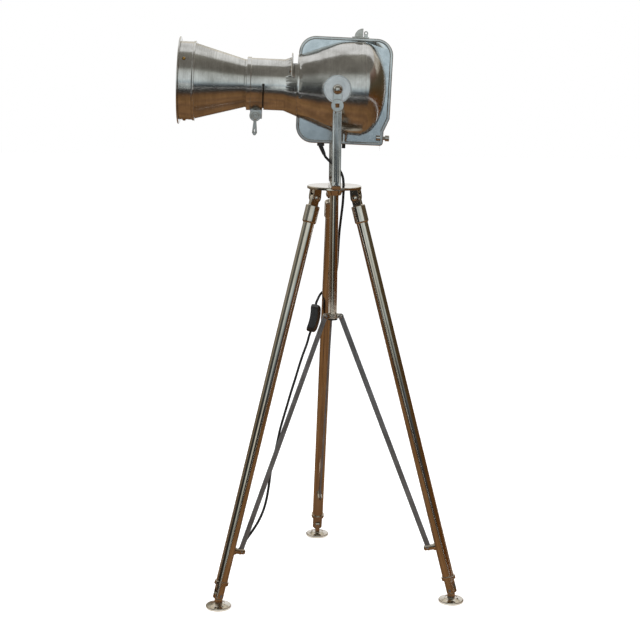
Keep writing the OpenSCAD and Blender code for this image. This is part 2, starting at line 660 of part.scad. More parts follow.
module cord_gland() color("black") head_frame() translate([gland_x, 0, -flange_low]) {
    translate([0, 0, -gland_h]) cylinder(h = gland_h, d = 16, $fn = 6);
    translate([0, 0, -gland_h]) rotate([0, -relief_angle, 0]) {
        sphere(d = 9.6, $fn = small_n);
        translate([0, 0, -relief_len]) cylinder(h = relief_len, d1 = cord_d + 2, d2 = 9.6, $fn = small_n);
    }
}

module tray_knob() color("gray") head_frame() translate([notch_x, 0, tray_hole_z]) {
    rod_x(5, -14, 3);
    rod_x(8, 0, 4);
    rod_x(13, 4, 13);
}

module adjust_knob() color("dimgray") head_frame() translate([knob_hole.x, 0, knob_hole.y]) {
    translate([0, 0, -3]) cylinder(h = 19, d = 4, $fn = small_n);
    translate([0, 0, -9]) cylinder(h = 9, d = 8, $fn = small_n);
}

// ---- Lens tube ----

lens_seat = cone_end + 6;
tail_x = nozzle_front - focus_travel - tube_hold;
spigot_len = 8;
band_bore = band_r - 3.2;

spigot_r = cone_small_r - cone_wall - fit / 2;

// The spun cone, and the sleeve that slides in the nozzle, whose spigot stands inside the cone
module lens_cone() color("silver") head_frame() {
    turned([[cone_small_r, -cone_start], [cone_large_r, -cone_end], [cone_large_r, -lens_seat],
        [cone_large_r - cone_wall, -lens_seat], [cone_large_r - cone_wall, -cone_end],
        [cone_small_r - cone_wall, -cone_start]]);
    turned([[cone_small_r, -tail_x], [cone_small_r, fit / 2 - cone_start], [spigot_r, fit / 2 - cone_start],
        [spigot_r, -cone_start - spigot_len], [spigot_r - cone_wall, -cone_start - spigot_len],
        [spigot_r - cone_wall, -tail_x]]);
}

module lens_band() color("silver") head_frame() turned([[band_bore, -cone_end - 2],
    [band_r + 1.5, -cone_end - 2], [band_r + 1.5, -cone_end - 6], [band_r, -cone_end - 7],
    [band_r, -band_front], [band_bore, -band_front]]);

lens_edge = 6;

module lens_ring() color("silver") head_frame() turned([[band_bore - 3, -band_front - ring_t],
    [ring_r, -band_front - ring_t], [ring_r, -band_front], [band_bore - fit, -band_front],
    [band_bore - fit, -lens_seat - lens_edge], [band_bore - 3, -lens_seat - lens_edge]]);

module lens() color("lightcyan") head_frame() turned(concat([[0, -lens_seat], [band_bore - fit - 0.1, -lens_seat]],
    [[band_bore - fit - 0.1, -lens_seat - lens_edge], [band_bore - 3.2, -lens_seat - lens_edge]],
    [for (a = [75:-15:0]) [(band_bore - 3.2) * sin(a), -lens_seat - lens_edge - 14 * cos(a)]]));

screw_angles = [55, -65, 175];

module band_screws() color("gold") head_frame() for (a = screw_angles) rotate([a, 0, 0])
    translate([-(lens_seat + band_front) / 2 - 4, 0, band_r]) difference() {
        dome(3.6, 2.4);
        translate([-5, -0.5, 1.2]) cube([10, 1, 3]);
    }

// ---- Flex ----

function catmull(p0, p1, p2, p3, t) = 0.5 * ((2 * p1) + (p2 - p0) * t + (2 * p0 - 5 * p1 + 4 * p2 - p3) * t * t
    + (3 * p1 - p0 - 3 * p2 + p3) * t * t * t);
// Points on a smooth curve through the given ones, n steps to each span
function smooth(p, n) = let (last = len(p) - 1) concat([for (i = [0:last - 1], k = [0:n - 1])
    catmull(p[max(i - 1, 0)], p[i], p[i + 1], p[min(i + 2, last)], k / n)], [p[last]]);
function tangents(p, first, final) = let (last = len(p) - 1)
    [for (i = [0:last]) i == 0 ? unit(first) : i == last ? unit(final) : unit(p[i + 1] - p[i - 1])];
function square_to(n, t) = unit(n - (n * t) * t);
function normals(t, n0) = [for (i = 0, n = square_to(n0, t[0]); i < len(t);
    i = i + 1, n = i < len(t) ? square_to(n, t[i]) : n) n];
// One unbroken tube along the points, with flat ends square to the given directions
module tube(p, d, sides, first, final) {
    t = tangents(p, first, final);
    n = normals(t, abs(first.z) > 0.9 ? [1, 0, 0] : [0, 0, 1]);
    last = len(p) - 1;
    points = [for (i = [0:last]) let (b = cross(t[i], n[i])) for (k = [0:sides - 1])
        p[i] + d / 2 * (cos(360 * k / sides) * n[i] + sin(360 * k / sides) * b)];
    sidewalls = [for (i = [0:last - 1], k = [0:sides - 1]) let (a = i * sides + k,
        b = i * sides + (k + 1) % sides) each [[a, b + sides, b], [a, a + sides, b + sides]]];
    starts = [for (k = [1:sides - 2]) [0, k, k + 1]];
    ends = [for (k = [1:sides - 2]) [last * sides, last * sides + k + 1, last * sides + k]];
    polyhedron(points = points, faces = concat(starts, sidewalls, ends));
}

cord_sides = 8;
// Where the flex leaves the strain relief, and its direction there
function tilted(v) =
    [v.x * cos(head_tilt) + v.z * sin(head_tilt), v.y, v.z * cos(head_tilt) - v.x * sin(head_tilt)];
relief_way = tilted([sin(relief_angle), 0, -cos(relief_angle)]);
relief_tip = [0, 0, tilt_h] + tilted([gland_x, 0, -flange_low - gland_h]) + relief_len * relief_way;

// The flex crosses the pan axis here, and the tripod head plate here
pan_cross = [0, 1, 955];
pan_way = [20, 1, -17];
neck_end = [20, 7, 890];
head_route = [relief_tip, relief_tip + cord_d * relief_way, [-12, 1, 965], pan_cross];
neck_route = [pan_cross, [11, 2, 945], [18, 3, 930], [20, 4, 914], [20.5, 5, 903], neck_end];
column_route = [neck_end, [19, 8, 870], [16, 12, 840], [13, 20, 806], [12, 36, 775], [12, 60, 748],
    [12, 85, 724], [10, 108, 700], [2, 126.5, 679], [-9, 134.5, 661], [-24, 129.5, 647], [-31, 118, 636],
    [-34, 114, 630], [-35, 113, 625]];
switch_way = unit([-12, -12, -61]);
switch_len = 64;
switch_w = 28;
switch_t = 18;
switch_turn = 16;            // turn about its length, which shows its right side
switch_top = [-35, 113, 625];
switch_bottom = switch_top + switch_len * switch_way;
lower_route = [switch_bottom, [-50, 98, 555], [-56, 90, 535], [-65, 80, 512], [-74, 68, 486], [-82, 56, 461],
    [-91, 42, 435], [-99, 27, 410], [-107, 11, 386], [-115, -6, 361], [-121, -22, 336], [-128, -40, 306],
    [-135, -56, 279], [-139, -72, 251], [-144, -86, 223], [-151, -97, 199], [-163, -106, 174],
    [-180, -113, 149], [-194.2, -115, 128.8], [-202, -111.1, 115.5],
    [-209.6, -101.2, 106.2], [-216.5, -89.3, 104], [-219.6, -77.3, 111.8],
    [-215.4, -66.3, 128.7]];

module cord_head() color("black") centred()
    tube(concat([relief_tip], smooth([for (i = [1:3]) head_route[i]], 3)), cord_d, cord_sides, relief_way, pan_way);
module cord_neck() color("black") centred()
    tube(smooth(neck_route, 2), cord_d, cord_sides, pan_way, [0, 0, -1]);
module cord_column() color("black") centred()
    tube(smooth(column_route, 2), cord_d, cord_sides, [0, 0, -1], switch_way);

// The switch's own frame: its length along the flex, its thin side to the front and a little to the left
module switch_frame() centred() translate(switch_top) multmatrix(let (z = -switch_way,
    x = square_to([1, 0, 0], z), y = cross(z, x)) [[x.x, y.x, z.x, 0], [x.y, y.y, z.y, 0], [x.z, y.z, z.z, 0],
    [0, 0, 0, 1]]) rotate([0, 0, -switch_turn]) children();

rocker_len = 22;
rocker_w = 13;
switch_bow = 4;
rocker_x = switch_bow + 3 - switch_t / 2;
// One side of the switch's bowed profile, in X and Z up from its lower end
function bowed(side) = [for (z = [2.5:(switch_len - 5) / 8:switch_len - 2.4])
    [switch_bow * sin(180 * z / switch_len) + side * switch_t / 2, z]];

module inline_switch() color("black") switch_frame() difference() {
    translate([0, 0, -switch_len]) switch_case();
    translate([rocker_x - 3 - eps, -rocker_w / 2 - gap, -switch_len / 2 - rocker_len / 2 - gap])
        cube([6 + eps, rocker_w + 2 * gap, rocker_len + 2 * gap]);
    translate([rocker_x, 0, -switch_len / 2]) rod_y(3 + fit, rocker_w + 8);
}
module switch_case() intersection() {
    slab(concat([[2.5 - switch_t / 2, 0], [switch_t / 2 - 2.5, 0]], bowed(1),
        [[switch_t / 2 - 2.5, switch_len], [2.5 - switch_t / 2, switch_len]],
        [for (i = [8:-1:0]) bowed(-1)[i]]), switch_w);
    translate([-switch_t, 0, 0]) rotate([90, 0, 90]) linear_extrude(2 * switch_t) polygon(concat(
        [[-6, 0], [6, 0]], arc_points([switch_w / 2 - 6, 10], 6, -60, 0, 4),
        arc_points([switch_w / 2 - 6, switch_len - 10], 6, 0, 60, 4), [[6, switch_len], [-6, switch_len]],
        arc_points([6 - switch_w / 2, switch_len - 10], 6, 120, 180, 4),
        arc_points([6 - switch_w / 2, 10], 6, 180, 240, 4)));
}

module switch_rocker() color("black") switch_frame() translate([rocker_x, 0, -switch_len / 2]) {
    rod_y(3, rocker_w + 6);
    slab([[-3, -rocker_len / 2 + 0.5], [1, -rocker_len / 2 + 2], [1, rocker_len / 2 - 2],
        [-4.5, rocker_len / 2 - 0.5], [-3, 0]], rocker_w);
}

// ---- Stored flex: a hank behind the front-left leg ----

hank_turn = -126;           // direction of the hank's plane about the leg, away from the front
hank_run = 90;              // length of the straight runs
hank_inner = 3 * cord_d;    // half-width of the innermost fold
hank_step = 7.2;            // distance between neighbouring turns
hank_layer = 6.4;           // distance between the two layers
hank_loops = 4;
loop_rings = 24;
waist_pull = 6;             // how far the tie draws the runs in
hank_outer = hank_inner + hank_step * hank_loops / 2;
hank_near = leg_d / 2 + 5;
hank_centre = hank_near + cord_d / 2 + hank_outer;
hank_at = 700;              // distance of the hank's middle from the hinge, along the leg
tail_len = hank_run + hank_outer + 14;

// Half-width of the spiral, and its layer, after u loops
function spiral(u) = hank_outer - hank_step * (u < hank_loops / 2 ? u : hank_loops - u);
function layer(u) = let (k = (u - hank_loops / 2) / (hank_run / loop_length()))
    hank_layer * (max(0, min(1, k)) - 0.5);
function loop_length() = 2 * hank_run + 2 * PI * (hank_inner + hank_outer) / 2;
function waist(z) = waist_pull * (1 + cos(360 * z / hank_run)) / 2;
// The hank's centreline: x away from the leg, y across the layers, z up the leg
function hank_point(u) = let (w = spiral(u), f = u - floor(u), run = hank_run / loop_length(), fold = 0.5 - run)
    f < run ? let (z = hank_run * (f / run - 0.5)) [w - waist(z), layer(u), z] :
    f < 0.5 ? let (a = 180 * (f - run) / fold) [w * cos(a), layer(u), hank_run / 2 + w * sin(a)] :
    f < 0.5 + run ? let (z = hank_run * (0.5 - (f - 0.5) / run)) [waist(z) - w, layer(u), z] :
    let (a = 180 + 180 * (f - 0.5 - run) / fold) [w * cos(a), layer(u), -hank_run / 2 + w * sin(a)];
hank_path = concat([[hank_outer, -hank_layer / 2, -hank_run / 2 - cord_d]],
    [for (i = [0:loop_rings * hank_loops]) hank_point(i / loop_rings)],
    [for (z = [15:15:tail_len - 1]) [hank_outer - (z < hank_run ? waist(z - hank_run / 2) : 0), hank_layer / 2,
        z - hank_run / 2]],
    [[hank_outer, hank_layer / 2, tail_len - hank_run / 2]]);

module hank_frame() leg_frame(FRONT_LEFT) translate([0, 0, -hank_at]) rotate([0, 0, hank_turn])
    translate([hank_centre, 0, 0]) children();
module cord_lower() color("black") tube_lower();
module tube_lower() centred() tube(concat([switch_bottom], smooth([for (i = [1:len(lower_route) - 1])
    lower_route[i]], 2), [hank_entry]), cord_d, cord_sides, switch_way, leg_up);
module cord_hank() color("black") hank_frame() tube(hank_path, cord_d, 6, [0, 0, 1], [0, 0, 1]);

// Where the hank's tube begins, in the lamp's own frame before it is centred
leg_up = let (d = leg_direction(FRONT_LEFT)) [-sin(leg_angle) * cos(d), -sin(leg_angle) * sin(d), cos(leg_angle)];
function from_leg(v) = let (d = leg_direction(FRONT_LEFT), x = v.x * cos(leg_angle) - v.z * sin(leg_angle) + hinge_r,
    z = v.x * sin(leg_angle) + v.z * cos(leg_angle) + hinge_z)
    [x * cos(d) - v.y * sin(d), x * sin(d) + v.y * cos(d), z];
function from_hank(v) = from_leg([(v.x + hank_centre) * cos(hank_turn) - v.y * sin(hank_turn),
    (v.x + hank_centre) * sin(hank_turn) + v.y * cos(hank_turn), v.z - hank_at]);
hank_entry = from_hank(hank_path[0]);

// Least gap between parts of the hank's tube that are more than two diameters apart along it
hank_gap = min([for (i = [0:len(hank_path) - 1]) for (j = [i + 4:1:len(hank_path) - 1])
    if (norm(hank_path[j] - hank_path[i]) < 3 * cord_d) norm(hank_path[j] - hank_path[i])]) - cord_d;
echo(hank_gap = hank_gap, hank_entry = hank_entry, stub_pin = [stub_pin_r, stub_pin_z], brace_len = brace_len,
    brace_angle = brace_angle, centre = [centre_x, centre_y], hinge_z = hinge_z, foot_r = foot_r);

tie_w = 9;
tie_t = 1.2;
tie_half = hank_outer - waist_pull + cord_d / 2 + 0.6;

tie_side = hank_layer / 2 + cord_d / 2 + 0.6;
saddle_from = 0.28 * leg_d - hank_centre;
saddle_t = 10;

// A strap round the waist of the hank, on a saddle that is bonded to the leg's rear side
module cord_tie() color("dimgray") hank_frame() translate([0, 0, -tie_w / 2]) difference() {
    linear_extrude(tie_w) polygon(tie_outline(tie_t, saddle_from, 0.45 * leg_d));
    translate([0, 0, -eps]) linear_extrude(tie_w + 2 * eps)
        polygon(tie_outline(0, saddle_from + saddle_t, tie_side));
    translate([-hank_centre, 0, -eps]) cylinder(h = tie_w + 2 * eps, d = leg_d + fit / 2, $fn = round_n);
}
// The strap's outline, drawn out by a distance, and where and how wide it ends at the leg
function tie_outline(out, end, half) = concat(arc_points([tie_half - 3, 3 - tie_side], 3 + out, 270, 360, 4),
    arc_points([tie_half - 3, tie_side - 3], 3 + out, 0, 90, 4), [[end, half], [end, -half]]);

plug_len = 40;
plug_w = 22;
plug_t = 14;
relief_out = 16;

module plug() color("black") hank_frame() translate([hank_outer, hank_layer / 2, tail_len - hank_run / 2]) {
    cylinder(h = relief_out, d1 = cord_d + 1.6, d2 = 10, $fn = small_n);
    translate([0, 0, relief_out]) linear_extrude(plug_len) polygon(concat(
        arc_points([plug_t / 2 - plug_w / 2, 0], plug_t / 2, 90, 270, 8),
        arc_points([plug_w / 2 - plug_t / 2, 0], plug_t / 2, -90, 90, 8)));
    for (x = [-6.5, 6.5]) translate([x, 0, relief_out + plug_len]) cylinder(h = 18, d = 4, $fn = small_n);
}

head_plate();
centre_column();
column_cap();
pan_bolt();
leg_bolts();
leg_tube(FRONT_LEFT);  // leg_tube_fl
leg_top(FRONT_LEFT);  // leg_top_fl
leg_end(FRONT_LEFT);  // leg_end_fl
brace_stub(FRONT_LEFT);  // brace_stub_fl
leg_pins(FRONT_LEFT);  // leg_pins_fl
foot(FRONT_LEFT);  // foot_fl
leg_tube(FRONT_RIGHT);  // leg_tube_fr
leg_top(FRONT_RIGHT);  // leg_top_fr
leg_end(FRONT_RIGHT);  // leg_end_fr
brace_stub(FRONT_RIGHT);  // brace_stub_fr
leg_pins(FRONT_RIGHT);  // leg_pins_fr
foot(FRONT_RIGHT);  // foot_fr
leg_tube(REAR);  // leg_tube_rear
leg_top(REAR);  // leg_top_rear
leg_end(REAR);  // leg_end_rear
brace_stub(REAR);  // brace_stub_rear
leg_pins(REAR);  // leg_pins_rear
foot(REAR);  // foot_rear
spider();
spider_pins();
brace(FRONT_LEFT);  // brace_fl
brace(FRONT_RIGHT);  // brace_fr
brace(REAR);  // brace_rear
yoke();
housing_half(NEAR);  // housing_near
housing_half(FAR);  // housing_far
housing_screws();
nozzle();
clamp_bolt();
tilt_discs();
tilt_bolts();
gate_plate();
reflector();
lamp_tray();
lampholder();
bulb();
top_catch();
cord_gland();
wing_nut();
tray_knob();
adjust_knob();
lens_cone();
lens_band();
lens_ring();
lens();
band_screws();
cord_head();
cord_neck();
cord_column();
inline_switch();
switch_rocker();
cord_lower();
cord_hank();
cord_tie();
plug();
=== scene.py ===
"""Looks of a tripod spotlight floor lamp: polished castings, nickel tubes, a black flex and a pale studio."""
import json
import logging
import math
from dataclasses import dataclass, field
from enum import Enum
from typing import Callable, Optional, Sequence

import bmesh
import bpy
import numpy as np
from mathutils import Matrix, Vector


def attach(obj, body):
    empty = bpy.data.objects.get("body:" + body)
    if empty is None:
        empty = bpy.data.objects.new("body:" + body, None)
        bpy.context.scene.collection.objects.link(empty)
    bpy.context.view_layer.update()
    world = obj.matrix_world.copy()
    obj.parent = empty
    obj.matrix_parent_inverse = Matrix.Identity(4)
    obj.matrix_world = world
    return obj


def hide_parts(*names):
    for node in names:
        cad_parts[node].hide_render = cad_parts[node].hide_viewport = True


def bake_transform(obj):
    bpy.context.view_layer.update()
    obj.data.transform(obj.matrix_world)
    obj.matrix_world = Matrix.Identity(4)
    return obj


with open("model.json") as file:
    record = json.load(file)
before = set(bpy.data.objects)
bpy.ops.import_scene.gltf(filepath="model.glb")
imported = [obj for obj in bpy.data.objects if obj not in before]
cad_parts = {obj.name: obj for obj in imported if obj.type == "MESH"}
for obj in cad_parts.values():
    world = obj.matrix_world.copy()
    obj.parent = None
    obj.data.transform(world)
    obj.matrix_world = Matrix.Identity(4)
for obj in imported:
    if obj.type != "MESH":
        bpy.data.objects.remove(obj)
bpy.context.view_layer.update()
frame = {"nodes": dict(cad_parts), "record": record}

log = logging.getLogger("spotlight")
MM = 0.001

# The lamp's driving places, in millimetres from the column's foot, before its box is centred
CENTRE = np.array([-22.5109, 65.4093, 0.0])
TILT_H = 1123.268
HEAD_TILT = 2.0
HINGE_R = 52.0
HINGE_Z = 887.368
LEG_ANGLE = 16.0
LEG_AZIMUTHS = {"fl": 214.0, "fr": 334.0, "rear": 94.0}
CORD_D = 5.6


def to_frame(points: np.ndarray) -> np.ndarray:
    """Turns millimetres from the column's foot into metres in the row's frame.

    Args:
        points: An array of points, one a row.

    Returns:
        The same points, centred and in metres.
    """
    return (np.asarray(points, dtype=float) - CENTRE) * MM


def head_matrix() -> Matrix:
    """Returns the head's frame: origin at the tilt axis, -X to the lens, tilted as at rest."""
    place = Vector(to_frame(np.array([0.0, 0.0, TILT_H])))
    return Matrix.Translation(place) @ Matrix.Rotation(math.radians(HEAD_TILT), 4, "Y")


def leg_matrix(leg: str) -> Matrix:
    """Returns a leg's frame: origin at its hinge, -Z down the leg, +X outward.

    Args:
        leg: The leg's short name.
    """
    azimuth = math.radians(LEG_AZIMUTHS[leg])
    hinge = to_frame(np.array([HINGE_R * math.cos(azimuth), HINGE_R * math.sin(azimuth), HINGE_Z]))
    return (Matrix.Translation(Vector(hinge)) @ Matrix.Rotation(azimuth, 4, "Z")
            @ Matrix.Rotation(-math.radians(LEG_ANGLE), 4, "Y"))


# ---- Colours and nodes ----


def linear(hex_colour: str, alpha: float = 1.0) -> tuple[float, float, float, float]:
    """Turns an sRGB hex colour into linear light.

    Args:
        hex_colour: Six hex digits, with or without a leading #.
        alpha: The fourth value.

    Returns:
        Linear red, green and blue, and alpha.
    """
    digits = hex_colour.lstrip("#")
    values = np.array([int(digits[i:i + 2], 16) / 255 for i in (0, 2, 4)])
    light = np.where(values <= 0.04045, values / 12.92, ((values + 0.055) / 1.055) ** 2.4)
    return (float(light[0]), float(light[1]), float(light[2]), alpha)


def add(tree: bpy.types.NodeTree, kind: str, inputs: Optional[dict] = None,
        **settings: object) -> bpy.types.Node:
    """Adds a node with its settings, its constants and its links.

    Args:
        tree: The node tree to add to.
        kind: The node's type name.
        inputs: Socket name or number, to a constant or to another node's output socket.
        settings: Attributes of the node itself.

    Returns:
        The new node.
    """
    node = tree.nodes.new(kind)
    for name, value in settings.items():
        setattr(node, name, value)
    for key, value in (inputs or {}).items():
        socket = node.inputs[key]
        if isinstance(value, bpy.types.NodeSocket):
            tree.links.new(value, socket)
        else:
            socket.default_value = value
    return node


def ramp(tree: bpy.types.NodeTree, factor: bpy.types.NodeSocket, stops: Sequence[tuple[float, str]]
         ) -> bpy.types.NodeSocket:
    """Adds a colour ramp.

    Args:
        tree: The node tree to add to.
        factor: The socket that drives it.
        stops: Positions with their sRGB hex colours, in order.

    Returns:
        The ramp's colour socket.
    """
    node = add(tree, "ShaderNodeValToRGB", {"Fac": factor})
    elements = node.color_ramp.elements
    while len(elements) < len(stops):
        elements.new(0.5)
    for element, (position, colour) in zip(elements, stops):
        element.position = position
        element.color = linear(colour)
    return node.outputs["Color"]


def noise(tree: bpy.types.NodeTree, place: bpy.types.NodeSocket, scale: float, detail: float = 2.0,
          roughness: float = 0.5) -> bpy.types.NodeSocket:
    """Adds a noise and returns its value.

    Args:
        tree: The node tree to add to.
        place: The coordinates that it is read at.
        scale: How many of its waves fit in one unit.
        detail: How many finer layers it has.
        roughness: How strong the finer layers are.
    """
    return add(tree, "ShaderNodeTexNoise", {"Vector": place, "Scale": scale, "Detail": detail,
                                            "Roughness": roughness}).outputs["Fac"]


def spread(tree: bpy.types.NodeTree, value: bpy.types.NodeSocket, least: float, most: float,
           high: float = 0.7) -> bpy.types.NodeSocket:
    """Spreads a noise's usual range, from 0.3 up to a high mark, over another range.

    Args:
        tree: The node tree to add to.
        value: The noise.
        least: What the low end becomes.
        most: What the high end becomes.
        high: The high mark.
    """
    return add(tree, "ShaderNodeMapRange", {"Value": value, "From Min": 0.3, "From Max": high,
                                            "To Min": least, "To Max": most}).outputs["Result"]


def blank_material(name: str) -> tuple[bpy.types.Material, bpy.types.NodeTree]:
    """Makes a material with no nodes yet.

    Args:
        name: The material's name.

    Returns:
        The material and its node tree.
    """
    material = bpy.data.materials.new(name)
    material.use_nodes = True
    material.node_tree.nodes.clear()
    return material, material.node_tree


# Where on its patches a finish is still unworn, and where it is worn through
WEAR_MARKS = (0.36, 0.68)
# How much of its relief shows in a finish's lines and in its specks
LINE_RELIEF = 0.15
SPECK_RELIEF = 0.06


class Grain(Enum):
    """How a surface was worked, which sets the direction of its fine lines."""

    PLAIN = "plain"
    ROUND_HEAD = "round the head's axis"
    ROUND_TILT = "round the tilt axis"
    LONG = "along the piece"

    def places(self, points: np.ndarray) -> np.ndarray:
        """Gives each point its place in the frame that the lines follow: the head's own for those round it,
        and for lines along a piece its principal axes, the longest one as Z.

        Args:
            points: Points in metres in the row's frame, one a row.

        Returns:
            The same points in that frame.
        """
        if self in (Grain.ROUND_HEAD, Grain.ROUND_TILT):
            turn = np.array(head_matrix().inverted())
            return points @ turn[:3, :3].T + turn[:3, 3]
        if self is Grain.LONG:
            centred = points - (points.min(0) + points.max(0)) / 2
            return centred @ np.linalg.eigh(centred.T @ centred)[1]
        return points


@dataclass(frozen=True)
class Finish:
    """One finish of the lamp: its colours, gloss and fine relief."""

    name: str
    base: str
    worn: str
    metallic: float
    roughness: float
    rough_spread: float = 0.06
    patch_mm: float = 40.0
    grain: Grain = Grain.PLAIN
    line_mm: float = 0.5
    line_depth_mm: float = 0.01
    line_tone: float = 0.12
    speck_mm: float = 3.0
    coat: float = 0.0
    stretch: float = 60.0

    def build(self) -> bpy.types.Material:
        """Makes the finish's material: patches of wear, fine tool lines and their relief.

        Returns:
            The material, which other pieces with this finish share.
        """
        made = bpy.data.materials.get(self.name)
        if made:
            return made
        material, tree = blank_material(self.name)
        place = add(tree, "ShaderNodeAttribute", attribute_name="own").outputs["Vector"]
        patches = noise(tree, place, 1 / (self.patch_mm * MM), 5.0, 0.6)
        specks = noise(tree, place, 1 / (self.speck_mm * MM), 3.0, 0.55)
        lines = self._lines(tree, place)
        wear = ramp(tree, patches, list(zip(WEAR_MARKS, (self.base, self.worn))))
        tone = spread(tree, lines, 1.0 - self.line_tone, 1.0 + self.line_tone)
        shade = add(tree, "ShaderNodeVectorMath", {0: wear, 1: tone}, operation="MULTIPLY")
        gloss = spread(tree, patches, max(0.02, self.roughness - self.rough_spread),
                       self.roughness + self.rough_spread)
        gloss = add(tree, "ShaderNodeMath", {0: gloss, 1: spread(tree, specks, 0.85, 1.25, 0.75)},
                    operation="MULTIPLY")
        relief = add(tree, "ShaderNodeBump", {"Height": lines, "Strength": LINE_RELIEF,
                                              "Distance": self.line_depth_mm * MM})
        relief = add(tree, "ShaderNodeBump", {"Height": specks, "Strength": SPECK_RELIEF,
                                              "Distance": self.line_depth_mm * MM * 2,
                                              "Normal": relief.outputs["Normal"]})
        shader = add(tree, "ShaderNodeBsdfPrincipled", {
            "Base Color": shade.outputs["Vector"], "Metallic": self.metallic,
            "Roughness": gloss.outputs["Value"], "Normal": relief.outputs["Normal"],
            "Coat Weight": self.coat})
        add(tree, "ShaderNodeOutputMaterial", {"Surface": shader.outputs["BSDF"]})
        return material

    def _lines(self, tree: bpy.types.NodeTree, place: bpy.types.NodeSocket) -> bpy.types.NodeSocket:
        """Makes the fine lines that the last tool left, as noise squeezed across their direction.

        Args:
            tree: The material's tree.
            place: The piece's own coordinates, in metres.

        Returns:
            A value that varies across the lines and stays along them.
        """
        across = 1 / (self.line_mm * MM)
        along = across / self.stretch
        if self.grain is Grain.PLAIN:
            return noise(tree, place, across)
        if self.grain is Grain.LONG:
            scaled = add(tree, "ShaderNodeMapping", {"Vector": place, "Scale": (across, across, along)})
            return noise(tree, scaled.outputs["Vector"], 1.0)
        if self.grain is Grain.ROUND_HEAD:
            scaled = add(tree, "ShaderNodeMapping", {"Vector": place, "Scale": (across, along, along)})
            return noise(tree, scaled.outputs["Vector"], 1.0, 3.0, 0.65)
        axes = add(tree, "ShaderNodeSeparateXYZ", {"Vector": place}).outputs
        flat = add(tree, "ShaderNodeCombineXYZ", {"X": axes["X"], "Z": axes["Z"]}).outputs["Vector"]
        radius = add(tree, "ShaderNodeVectorMath", {0: flat}, operation="LENGTH").outputs["Value"]
        rings = add(tree, "ShaderNodeMath", {0: radius, 1: across}, operation="MULTIPLY").outputs["Value"]
        drift = add(tree, "ShaderNodeVectorMath", {0: flat, "Scale": along}, operation="SCALE")
        drift_axes = add(tree, "ShaderNodeSeparateXYZ", {"Vector": drift.outputs["Vector"]}).outputs
        spot = add(tree, "ShaderNodeCombineXYZ", {"X": rings, "Y": drift_axes["X"], "Z": drift_axes["Z"]})
        return noise(tree, spot.outputs["Vector"], 1.0)


# Nickel plate on cast and turned fittings, buffed bright: a warm silver that browns where it has thinned
NICKEL = Finish("buffed_nickel_plate", "CFCABF", "B0A594", 1.0, 0.13, 0.03, patch_mm=60, line_mm=1.2,
                line_depth_mm=0.004, line_tone=0.04, speck_mm=3.0)
# Nickel plate on drawn steel tube, buffed along its length, which leaves long fine streaks
NICKEL_TUBE = Finish("drawn_nickel_tube", "D0CABE", "B5A995", 1.0, 0.09, 0.02, patch_mm=150,
                     grain=Grain.LONG, line_mm=1.0, line_depth_mm=0.002, line_tone=0.05, speck_mm=6.0)
# Die-cast aluminium, stripped of its paint and brushed round by hand: drag lines in a grey silver
CAST_ROUND = Finish("brushed_cast_aluminium", "CFCFCC", "A9A8A4", 1.0, 0.17, 0.03, patch_mm=45,
                    grain=Grain.ROUND_HEAD, line_mm=0.9, line_depth_mm=0.012, line_tone=0.12, speck_mm=5.0)
# The castings' flat flange, rubbed to a satin
FLANGE = Finish("satin_cast_aluminium", "DCE2E4", "BFC7CA", 1.0, 0.2, 0.04, patch_mm=30, line_mm=0.9,
                line_depth_mm=0.01, line_tone=0.06, speck_mm=3.0)
# Spun aluminium of the lens cone, with the lathe's rings still in it
CONE = Finish("spun_aluminium", "CBCBC7", "A3A29D", 1.0, 0.19, 0.04, patch_mm=55, grain=Grain.ROUND_HEAD,
              line_mm=1.1, line_depth_mm=0.012, line_tone=0.16, speck_mm=5.0)
# Forged steel strap of the yoke, polished and then dulled by hands
YOKE = Finish("polished_steel_strap", "D2D1CC", "A8A49B", 1.0, 0.12, 0.03, patch_mm=45, grain=Grain.LONG,
              line_mm=0.8, line_depth_mm=0.006, line_tone=0.08, speck_mm=4.0)
# Faced aluminium disc with the fine rings of its facing cut, which spread the light
TURNED = Finish("faced_aluminium_disc", "EDEEEE", "D6D8D8", 1.0, 0.34, 0.03, patch_mm=30,
                grain=Grain.ROUND_TILT, line_mm=0.8, line_depth_mm=0.02, line_tone=0.08, speck_mm=3.0)
# Rolled steel flats of the braces, burnished to a dark brown grey
DARK_STEEL = Finish("burnished_steel", "7C7E80", "5C5B5A", 0.6, 0.36, 0.06, patch_mm=60, grain=Grain.LONG,
                    line_mm=0.9, line_depth_mm=0.01, line_tone=0.1, speck_mm=3.0)
# Zinc-plated screws, nuts and knobs, bright with a grey bloom
STEEL = Finish("plated_steel", "CFCEC9", "A8A49B", 1.0, 0.2, 0.04, patch_mm=15, line_mm=0.7,
               line_depth_mm=0.006, line_tone=0.05, speck_mm=1.5)
# Heat-blackened steel of the gate and of a few small parts, also laid as painted shade on the lens cone's
# sleeve in the clamp's saw cut
BLACKENED = Finish("blackened_steel", "2C2B2A", "4A4744", 0.9, 0.4, 0.06, patch_mm=12, line_mm=0.7,
                   line_depth_mm=0.01, line_tone=0.08, speck_mm=1.5)
# Turned brass screws, tarnished in their slots
BRASS = Finish("worn_brass", "C9A25A", "8A6630", 1.0, 0.28, 0.05, patch_mm=4, line_mm=0.4,
               line_depth_mm=0.006, line_tone=0.08, speck_mm=1.0)
# Extruded PVC sheath of the flex: a soft black sheen with faint scuffs
FLEX = Finish("black_pvc_flex", "0E0E0F", "1B1B1C", 0.0, 0.42, 0.06, patch_mm=25, line_mm=1.2,
              line_depth_mm=0.02, line_tone=0.1, speck_mm=1.2)
# Moulded phenolic of the switch, the gland and the plug: hard and a little glossier than the flex
MOULDING = Finish("black_moulding", "121213", "1E1E1F", 0.0, 0.34, 0.05, patch_mm=18, line_mm=0.6,
                  line_depth_mm=0.01, line_tone=0.08, speck_mm=1.0, coat=0.15)
